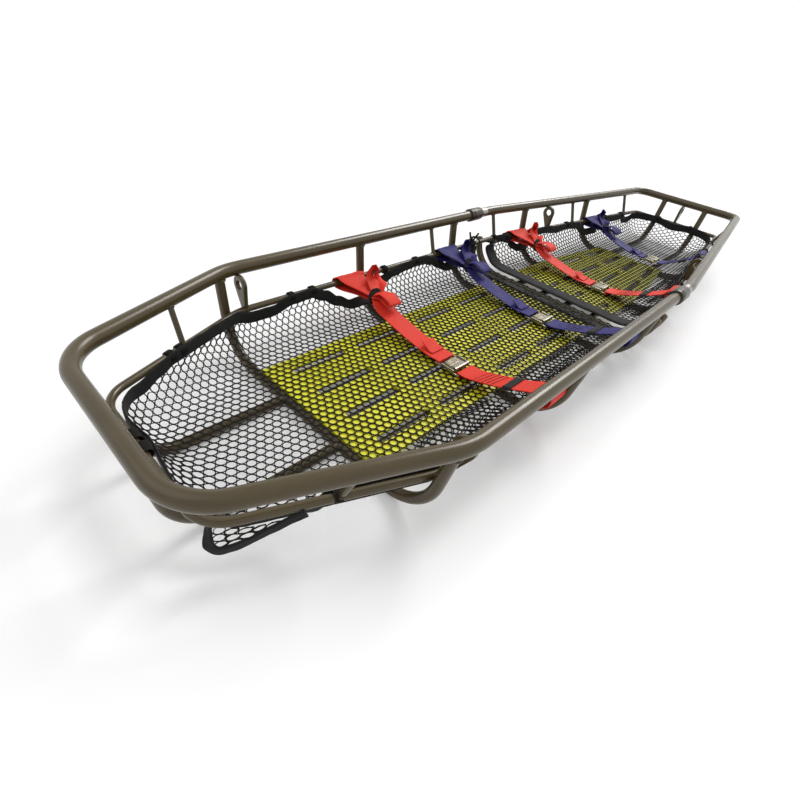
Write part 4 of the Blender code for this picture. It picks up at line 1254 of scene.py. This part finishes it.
def build_lacings():
    """The cord that laces each hem to the mid rail, with the lashings at the head end."""
    inset, height = MID_INSET + LACE_INSET, MID_Z + 0.001
    for half, _ in HALVES:
        body = bmesh.new()
        for ties, sign in ((TIES_FAR, 1), (TIES_NEAR, -1)):
            for station in ties[half]:
                y0, y1 = (width_at(station + d, inset) for d in (-0.004, 0.004))
                run = Vector((0.008, sign * (y1 - y0), 0.0)).normalized()
                lacing(body, Vector((x_at(station), sign * (y0 + y1) / 2, height)), run)
        for y in TIES_END[half]:
            lacing(body, Vector((x_at(end_station(half, inset)), y, height)), Y, 7 if half == "head" else 4)
        make_piece(f"Lacing{half.title()}", body, net_cord(), f"{half}_half", smooth=60.0)
    build_knots()


def build_knots():
    """The loose ends tied off where the head half's hem stops beside the split."""
    body = bmesh.new()
    for _, sign in SIDES:
        y = sign * width_at(KNOT_STATION, MID_INSET + 0.002)
        root = Vector((x_at(KNOT_STATION), y, MID_Z + 0.008))
        for reach, lift, side in ((0.016, 0.022, 0.004), (-0.012, 0.026, -0.006), (0.004, 0.014, 0.012)):
            tip = root + Vector((reach, -sign * side, lift))
            bow = (root + tip) / 2 + Vector((reach, sign * side, 0.004))
            path = smooth_path([root - Z * 0.006, root, bow, tip], 5)
            sweep(body, round_section(0.0028, 8), path_frames(path, X))
        bmesh.ops.create_icosphere(body, subdivisions=3, radius=0.0085, matrix=Matrix.Translation(root))
    crumple(body, 0.0016, 120.0)
    make_piece("HemKnots", body, net_cord(), "head_half", smooth=60.0)


# Straps


def band(name, rows, colour, body_name, replaces=(), rumple=0.0):
    """A piece of webbing along a smooth curve.

    Each row is a point of its middle line, the way its width runs there, and the width."""
    path, across, widths = (smooth_path(points, 5) for points in (
        [row[0] for row in rows], [row[1] for row in rows], [(row[2], 0.0, 0.0) for row in rows]))
    frames = []
    for k, point in enumerate(path):
        along = (path[min(k + 1, len(path) - 1)] - path[max(k - 1, 0)]).normalized()
        side = (across[k] - along * across[k].dot(along)).normalized()
        frames.append(place_frame(side, along.cross(side), along, point))
    body = bmesh.new()
    full = rows[0][2]
    sweep(body, flat_section(full, WEBBING_THICKNESS, 10), frames, [(w.x / full, 1.0) for w in widths])
    crumple(body, rumple, 55.0)
    make_piece(name, body, webbing(colour), body_name, replaces, 40.0)


def rail_run(station, sign):
    """Where the mid rail's centre line is at a station, and which way it runs."""
    y0, y1 = (width_at(station + d, MID_INSET) for d in (-0.02, 0.02))
    run = Vector((0.04, sign * (y1 - y0), 0.0)).normalized()
    return Vector((x_at(station), sign * (y0 + y1) / 2, MID_Z)), run


def run_height(share):
    """Height of a strap's slack run, from the buckle's bar to the rail."""
    return BUCKLE_Z + 0.0005 + (MID_Z + 0.0045 - BUCKLE_Z) * share**1.7


def bar_wrap(station, sign, width):
    """Rows of a strap's turn round the buckle's bar on one side."""
    rows = []
    for angle in (200, 240, 280, 320, 360, 400, 430):
        turn = math.radians(angle)
        y = BUCKLE_Y + sign * BAR_REACH - sign * BAR_WRAP * math.cos(turn)
        rows.append((Vector((x_at(station), y, BUCKLE_Z + BAR_WRAP * math.sin(turn))), X, width))
    return rows


def run_point(station, sign, rail_y, share, lift):
    """A point of a strap's slack run, from the buckle's bar to the rail."""
    bar_y = BUCKLE_Y + sign * BAR_REACH
    return Vector((x_at(station), bar_y + (rail_y - bar_y) * share, run_height(share) + lift))


def far_rows(station, width):
    """Rows of the far run, from round the buckle's bar to the knot below the rail."""
    rail_y = width_at(station, MID_INSET)
    rows = bar_wrap(station, 1, width)
    for share in (0.10, 0.2, 0.32, 0.44, 0.55, 0.62):
        rows.append((run_point(station, 1, rail_y, share, 0.0015), X, width))
    for share, narrow in ((0.68, 0.86), (0.715, 0.6), (0.74, 0.5)):
        rows.append((run_point(station, 1, rail_y, share, 0.004), X, width * narrow))
    return rows


def build_far_half(number, colour, station, body_name):
    """The far half of a strap: a sling over the rail, gathered to a knot, and the run below it."""
    width = sizes().strap_width
    run_rows = far_rows(station, width)
    band(f"Strap{number}FarRun", run_rows, colour, body_name, [f"strap_{number}_left"])
    root = run_rows[7][0] + Z * 0.0026
    tail = [(root + Vector((0.004, y, z)), Vector((0.97, 0.24, 0.0)), width * 0.8)
            for y, z in ((-0.008, 0.0006), (0.004, 0.0010), (0.014, 0.0050), (0.024, 0.0105))]
    band(f"Strap{number}Tail", tail, colour, body_name, rumple=0.0012)
    knot = run_point(station, 1, width_at(station, MID_INSET), KNOT_SHARE, 0.005)
    rail, run = rail_run(station - 0.014, 1)
    up = Vector((0.0, -0.35, 0.94))
    over = [(rail + Vector((0.0, y, z)), run, wide) for y, z, wide in SLING]
    rows = [
        (knot + Vector((0.0, -0.006, 0.003)), X, 0.022),
        (knot + Vector((-0.002, 0.008, 0.006)), X, 0.028),
        (knot.lerp(rail + Z * 0.012, 0.45) + up * 0.003, X, 0.046),
        *over,
        (knot.lerp(rail - Z * 0.010, 0.5) - up * 0.003, X, 0.044),
        (knot + Vector((0.0, 0.006, -0.004)), X, 0.026),
        (knot + Vector((0.0, -0.008, -0.004)), X, 0.020),
    ]
    band(f"Strap{number}Sling", rows, colour, body_name, rumple=0.0012)
    peak = knot + Vector((0.034, 0.052, 0.036))
    fold = (Vector((0.75, 0.45, 0.15)), Vector((0.55, 0.55, -0.6)), Vector((0.8, -0.2, 0.5)))
    rows = [
        (knot + Vector((0.000, -0.004, 0.006)), X, 0.018),
        (knot + Vector((0.010, 0.014, 0.012)), fold[0], 0.028),
        (knot.lerp(peak, 0.7), fold[0], 0.044),
        (peak, fold[1], 0.046),
        (peak + Vector((0.012, -0.010, -0.006)), fold[1], 0.044),
        (knot + Vector((0.032, 0.024, 0.014)), fold[2], 0.040),
        (knot + Vector((0.014, 0.006, 0.004)), fold[2], 0.026),
        (knot + Vector((0.002, -0.006, 0.001)), X, 0.018),
    ]
    band(f"Strap{number}Fold", rows, colour, body_name, rumple=0.0030)
    down = (run_rows[-7][0] - knot).normalized()
    lift = Vector((0.0, 0.30, 0.95))
    rows = [(knot + down * reach + lift * high + X * aside * BIGHT_SHIFT, X, wide)
            for reach, high, aside, wide in BIGHT]
    band(f"Strap{number}Bight", rows, colour, body_name, rumple=0.0015)
    ring = [knot + X * 0.0150 * u + lift * 0.0125 * v + lift * 0.003 for u, v in arc(0.0, 2 * math.pi, 32)]
    frames = path_frames(ring, [(p - knot).normalized() for p in ring])
    tape(f"Strap{number}KnotTie", standing_section(0.013, 0.0022), frames, (0.0012, 90.0), body_name)


def near_rows(station, width):
    """Rows of the near run, from round the buckle's bar to a loose loop round the rail."""
    rail, run = rail_run(station, -1)
    rows = bar_wrap(station, -1, width)
    for share in (0.10, 0.2, 0.34, 0.48, 0.6, 0.7):
        lift = 0.0015 + 0.006 * math.sin(math.pi * share)
        rows.append((run_point(station, -1, rail.y, share, lift), X, width))
    for share, wide in ((0.8, 1.03), (0.88, 1.08)):
        rows.append((run_point(station, -1, rail.y, share, 0.006), X, width * wide))
    return rows + [(rail + Vector((0.0, y, z)), run, width * 1.06) for y, z in LOOP]


def build_near_half(number, colour, station, body_name):
    """The near half of a strap: its stitched run, a keeper and the loop round the rail."""
    width = sizes().strap_width
    rows = near_rows(station, width)
    band(f"Strap{number}NearRun", rows, colour, body_name, [f"strap_{number}_right"], rumple=0.0006)
    body = bmesh.new()
    start, end = rows[8][0], rows[10][0]
    slant = (end - start) * 0.10
    for k in range(5):
        middle = start.lerp(end, (k + 0.3) / 5)
        points = [middle + X * width * 0.46 * t + slant * t + Z * 0.0013
                  for t in (-1.0, -0.5, 0.0, 0.5, 1.0)]
        sweep(body, round_section(0.0006, 6), path_frames(points))
    make_piece(f"Strap{number}Stitches", body, webbing_thread(colour), body_name,
               smooth=60.0)
    middle, ahead = rows[11][0], rows[12][0]
    along = (ahead - middle).normalized()
    frames = path_frames([middle + along * d for d in (-0.009, -0.003, 0.003, 0.009)], along.cross(X) * -1)
    tape(f"Strap{number}Keeper", flat_section(width + 0.006, 0.0068, 8), frames, (0.0008, 80.0), body_name)


def half_body(station):
    """The body of the half that a station is in."""
    return "head_half" if station < SPLIT else "foot_half"


def build_straps():
    """The webbing of the four straps, both halves of each."""
    for number, colour, station in STRAPS:
        build_far_half(number, colour, station, half_body(station))
        build_near_half(number, colour, station, half_body(station))


def slotted_plate(body, x):
    """A buckle's base: a plate with a webbing slot near each end and raised sides between them."""
    inside = PLATE_HALF_WIDTH - CHEEK_WIDTH
    columns = (-PLATE_HALF_WIDTH, -inside, inside, PLATE_HALF_WIDTH)
    rows = (PLATE_HALF_LENGTH, 0.0262, 0.0160, 0.0118)
    rows = [-v for v in rows] + list(reversed(rows))
    corners = [[body.verts.new((x + u, BUCKLE_Y + v, BUCKLE_Z - 0.0018)) for u in columns] for v in rows]
    for j in range(len(rows) - 1):
        for i in range(len(columns) - 1):
            if i != 1 or j not in (1, 5):
                body.faces.new((corners[j][i], corners[j][i + 1], corners[j + 1][i + 1], corners[j + 1][i]))
    grown = raise_faces(body, list(body.faces), Z * PLATE_THICKNESS)
    cheeks = [f for f in grown if isinstance(f, bmesh.types.BMFace)
              and abs(f.calc_center_median().x - x) > inside
              and abs(f.calc_center_median().y - BUCKLE_Y) < 0.0162]
    raise_faces(body, cheeks, Z * CHEEK_HEIGHT)
    bmesh.ops.delete(body, geom=cheeks, context="FACES_ONLY")
    bmesh.ops.recalc_face_normals(body, faces=body.faces)
    round_rims(body, 0.8, 0.0005, 2)


def prism(body, outline, x0, x1):
    """A plate between two values of X with the outline given as (y, z) points."""
    face = body.faces.new([body.verts.new((x0, y, z)) for y, z in outline])
    raise_faces(body, [face], X * (x1 - x0))


def lever_outline():
    """A lever from the side: a thick root at the pin and five ridges towards its tip."""
    outline = [(0.0, -0.0031), (0.0300, -0.0031), (0.0312, -0.0022), (0.0312, -0.0008)]
    for k in range(5):
        crest = 0.0292 - 0.0030 * k
        outline += [(crest, 0.0010), (crest - 0.0012, 0.0012), (crest - 0.0020, 0.0000)]
    return [*outline, (0.0130, 0.0004), (0.0040, 0.0026), (0.0, 0.0031)]


def build_buckles():
    """Plain metal buckles: a slotted frame with round bars, and a ridged spring lever."""
    for number, _, station in STRAPS:
        x = x_at(station)
        pivot = Vector((x, BUCKLE_Y - LEVER_BACK, BUCKLE_Z + LEVER_LIFT))
        body = bmesh.new()
        slotted_plate(body, x)
        for sign in (1, -1):
            bar = [Vector((x + u, BUCKLE_Y + sign * BAR_REACH, BUCKLE_Z)) for u in (-0.0262, 0.0262)]
            sweep(body, round_section(0.0024, 14), path_frames(bar))
            ear = [(pivot.y - EAR_RADIUS, BUCKLE_Z + 0.0010), (pivot.y + EAR_RADIUS, BUCKLE_Z + 0.0010)]
            ear += [(pivot.y + EAR_RADIUS * u, pivot.z + EAR_RADIUS * v) for u, v in arc(0.0, math.pi, 8)]
            prism(body, ear, x + sign * EAR_IN, x + sign * EAR_OUT)
        make_piece(f"Buckle{number}Frame", body, buckle_metal(), half_body(station),
                   [f"strap_{number}_buckle_frame"], 30.0)
        body = bmesh.new()
        for reach, radius, sides in ((LEVER_HALF, 0.0032, 20), (0.0214, 0.0015, 12)):
            sweep(body, round_section(radius, sides), path_frames([pivot - X * reach, pivot + X * reach]))
        outline = [(pivot.y + u, pivot.z + v) for u, v in lever_outline()]
        prism(body, outline, x - LEVER_HALF, x + LEVER_HALF)
        make_piece(f"Buckle{number}Lever", body, buckle_metal(), f"buckle_lever_{number}",
                   [f"strap_{number}_buckle_lever"], 30.0)


# Stage


def build_stage():
    """A white floor that keeps a pale shadow, soft lights and the camera."""
    scene = bpy.context.scene
    body = bmesh.new()
    bmesh.ops.create_grid(body, x_segments=1, y_segments=1, size=FLOOR_SIZE)
    mesh = bpy.data.meshes.new("StageFloor")
    body.to_mesh(mesh)
    body.free()
    mesh.materials.append(stage_white())
    new_object("StageFloor", mesh)
    world = bpy.data.worlds.get("Studio") or bpy.data.worlds.new("Studio")
    scene.world = world
    world.use_nodes = True
    tree = world.node_tree
    background = tree.nodes["Background"]
    set_inputs(background, {"Color": (1.0, 1.0, 1.0, 1.0)})
    level = add_node(tree, "ShaderNodeMapRange", To_Min=WORLD_LIGHT)
    tree.links.new(seen_directly(tree), level.inputs["Value"])
    tree.links.new(level.outputs["Result"], background.inputs["Strength"])
    for name, place, wide, strength in LAMPS:
        lamp = bpy.data.lights.new(name, "SUN")
        lamp.angle = math.radians(wide)
        lamp.energy = strength
        holder = new_object(name, lamp)
        holder.location = Vector(place) * LAMP_DISTANCE
        holder.rotation_euler = (-Vector(place)).to_track_quat("-Z", "Y").to_euler()
    camera = bpy.data.cameras.new("Camera")
    camera.lens, camera.sensor_width = CAMERA_LENS, 36.0
    camera.shift_x, camera.shift_y = CAMERA_SHIFT
    camera.clip_start, camera.clip_end = 0.01, 200.0
    holder = new_object("Camera", camera)
    holder.location = CAMERA_PLACE
    holder.rotation_euler = tuple(math.radians(a) for a in CAMERA_TURN)
    scene.camera = holder
    scene.view_settings.view_transform = "Standard"


def seen_directly(tree):
    """A socket that is 1 for rays from the camera and for those that metal or glass sends on."""
    rays = tree.nodes.new("ShaderNodeLightPath")
    total = rays.outputs["Is Camera Ray"]
    for kind in ("Is Glossy Ray", "Is Transmission Ray"):
        total = math_step(tree, "MAXIMUM", total, rays.outputs[kind])
    return total


def stage_white():
    """White to the camera, with part of the floor's own shade left as a soft shadow."""
    made, node = shader("Stage White", 0.9, Base_Color=(0.86, 0.86, 0.86, 1.0), Specular_IOR_Level=0.0)
    if node is None:
        return made
    tree = made.node_tree
    glow = add_node(tree, "ShaderNodeEmission")
    tree.links.new(math_step(tree, "MULTIPLY", seen_directly(tree), FLOOR_GLOW), glow.inputs["Strength"])
    total = add_node(tree, "ShaderNodeAddShader")
    tree.links.new(node.outputs["BSDF"], total.inputs[0])
    tree.links.new(glow.outputs["Emission"], total.inputs[1])
    tree.links.new(total.outputs["Shader"], tree.nodes["Material Output"].inputs["Surface"])
    return made


class StretcherSizes(bpy.types.PropertyGroup):
    """Sizes of the dressed pieces."""

    rail_radius: bpy.props.FloatProperty(
        name="Rail Radius", description="Radius of the top rail's tube", default=0.0127, unit="LENGTH")
    mid_rail_radius: bpy.props.FloatProperty(
        name="Mid Rail Radius", description="Radius of the mid rail", default=0.0065, unit="LENGTH")
    rib_radius: bpy.props.FloatProperty(
        name="Rib Radius", description="Radius of the ribs' tube", default=0.0095, unit="LENGTH")
    rod_radius: bpy.props.FloatProperty(
        name="Rod Radius", description="Radius of the thin rods", default=0.005, unit="LENGTH")
    net_pitch: bpy.props.FloatProperty(
        name="Net Pitch", description="Distance between the net's holes", default=0.0156, unit="LENGTH")
    net_cord: bpy.props.FloatProperty(
        name="Net Cord", description="Width of the net's cord", default=0.0026, unit="LENGTH")
    hem_width: bpy.props.FloatProperty(
        name="Hem Width", description="Width of the net's bound hem", default=0.024, unit="LENGTH")
    strap_width: bpy.props.FloatProperty(
        name="Strap Width", description="Width of the webbing straps", default=0.050, unit="LENGTH")


class StretcherFinishes(bpy.types.PropertyGroup):
    """Colours of the finishes."""

    coat: bpy.props.FloatVectorProperty(
        name="Powder Coat", description="Colour of the frame's coat", subtype="COLOR", size=3,
        default=(0.062, 0.045, 0.018))
    sheet: bpy.props.FloatVectorProperty(
        name="Bed Sheet", description="Colour of the bed sheets", subtype="COLOR", size=3,
        default=(0.84, 0.80, 0.022))
    red: bpy.props.FloatVectorProperty(
        name="Red Webbing", description="Colour of the red straps", subtype="COLOR", size=3,
        default=(0.78, 0.036, 0.016))
    blue: bpy.props.FloatVectorProperty(
        name="Blue Webbing", description="Colour of the blue straps", subtype="COLOR", size=3,
        default=(0.015, 0.010, 0.135))


class STRETCHER_OT_rails(bpy.types.Operator):
    """Make the top and mid rails of both halves"""

    bl_idname = "stretcher.rails"
    bl_label = "Build Rails"

    def execute(self, context):
        build_rails()
        return {"FINISHED"}


class STRETCHER_OT_ribs(bpy.types.Operator):
    """Make the ribs, end hoops and thin rods"""

    bl_idname = "stretcher.ribs"
    bl_label = "Build Ribs"

    def execute(self, context):
        build_ribs()
        return {"FINISHED"}


class STRETCHER_OT_welds(bpy.types.Operator):
    """Make the weld beads where tubes meet"""

    bl_idname = "stretcher.welds"
    bl_label = "Build Welds"

    def execute(self, context):
        build_welds()
        return {"FINISHED"}


class STRETCHER_OT_collars(bpy.types.Operator):
    """Make the locking collars and the bare tube beside them"""

    bl_idname = "stretcher.collars"
    bl_label = "Build Collars"

    def execute(self, context):
        build_collars()
        return {"FINISHED"}


class STRETCHER_OT_lugs(bpy.types.Operator):
    """Make the lifting lugs"""

    bl_idname = "stretcher.lugs"
    bl_label = "Build Lugs"

    def execute(self, context):
        build_lugs()
        return {"FINISHED"}


class STRETCHER_OT_sheets(bpy.types.Operator):
    """Give the slotted bed sheets their finish"""

    bl_idname = "stretcher.sheets"
    bl_label = "Finish Bed Sheets"

    def execute(self, context):
        build_sheets()
        return {"FINISHED"}


class STRETCHER_OT_nets(bpy.types.Operator):
    """Make the net liners of both halves"""

    bl_idname = "stretcher.nets"
    bl_label = "Build Nets"

    def execute(self, context):
        build_nets()
        return {"FINISHED"}


class STRETCHER_OT_bindings(bpy.types.Operator):
    """Make the nets' hems, the bound edges across the bed and their lacing"""

    bl_idname = "stretcher.bindings"
    bl_label = "Build Bindings"

    def execute(self, context):
        build_bindings()
        build_lacings()
        return {"FINISHED"}


class STRETCHER_OT_straps(bpy.types.Operator):
    """Make the webbing straps"""

    bl_idname = "stretcher.straps"
    bl_label = "Build Straps"

    def execute(self, context):
        build_straps()
        return {"FINISHED"}


class STRETCHER_OT_buckles(bpy.types.Operator):
    """Make the buckles of the four straps"""

    bl_idname = "stretcher.buckles"
    bl_label = "Build Buckles"

    def execute(self, context):
        build_buckles()
        return {"FINISHED"}


class STRETCHER_OT_stage(bpy.types.Operator):
    """Make the floor, the lights and the camera"""

    bl_idname = "stretcher.stage"
    bl_label = "Build Stage"

    def execute(self, context):
        build_stage()
        return {"FINISHED"}


OPERATORS = (
    STRETCHER_OT_rails, STRETCHER_OT_ribs, STRETCHER_OT_welds, STRETCHER_OT_collars, STRETCHER_OT_lugs,
    STRETCHER_OT_sheets, STRETCHER_OT_nets, STRETCHER_OT_bindings, STRETCHER_OT_straps,
    STRETCHER_OT_buckles, STRETCHER_OT_stage,
)


class STRETCHER_PT_panel(bpy.types.Panel):
    """The building steps in the sidebar."""

    bl_idname = "STRETCHER_PT_panel"
    bl_label = "Basket Stretcher"
    bl_space_type = "VIEW_3D"
    bl_region_type = "UI"
    bl_category = "Stretcher"

    def draw(self, context):
        for group in (context.scene.stretcher_sizes, context.scene.stretcher_finishes):
            for name in group.__annotations__:
                self.layout.prop(group, name)
        for operator in OPERATORS:
            self.layout.operator(operator.bl_idname)


CLASSES = (StretcherSizes, StretcherFinishes, *OPERATORS, STRETCHER_PT_panel)


def register():
    """Adds the classes and their settings to Blender."""
    for cls in CLASSES:
        bpy.utils.register_class(cls)
    bpy.types.Scene.stretcher_sizes = bpy.props.PointerProperty(type=StretcherSizes)
    bpy.types.Scene.stretcher_finishes = bpy.props.PointerProperty(type=StretcherFinishes)


def unregister():
    """Takes them out again."""
    del bpy.types.Scene.stretcher_finishes
    del bpy.types.Scene.stretcher_sizes
    for cls in reversed(CLASSES):
        bpy.utils.unregister_class(cls)


def main():
    """Builds every piece through its operator."""
    register()
    for operator in OPERATORS:
        getattr(bpy.ops.stretcher, operator.bl_idname.split(".")[1])()


if __name__ == "__main__":
    main()
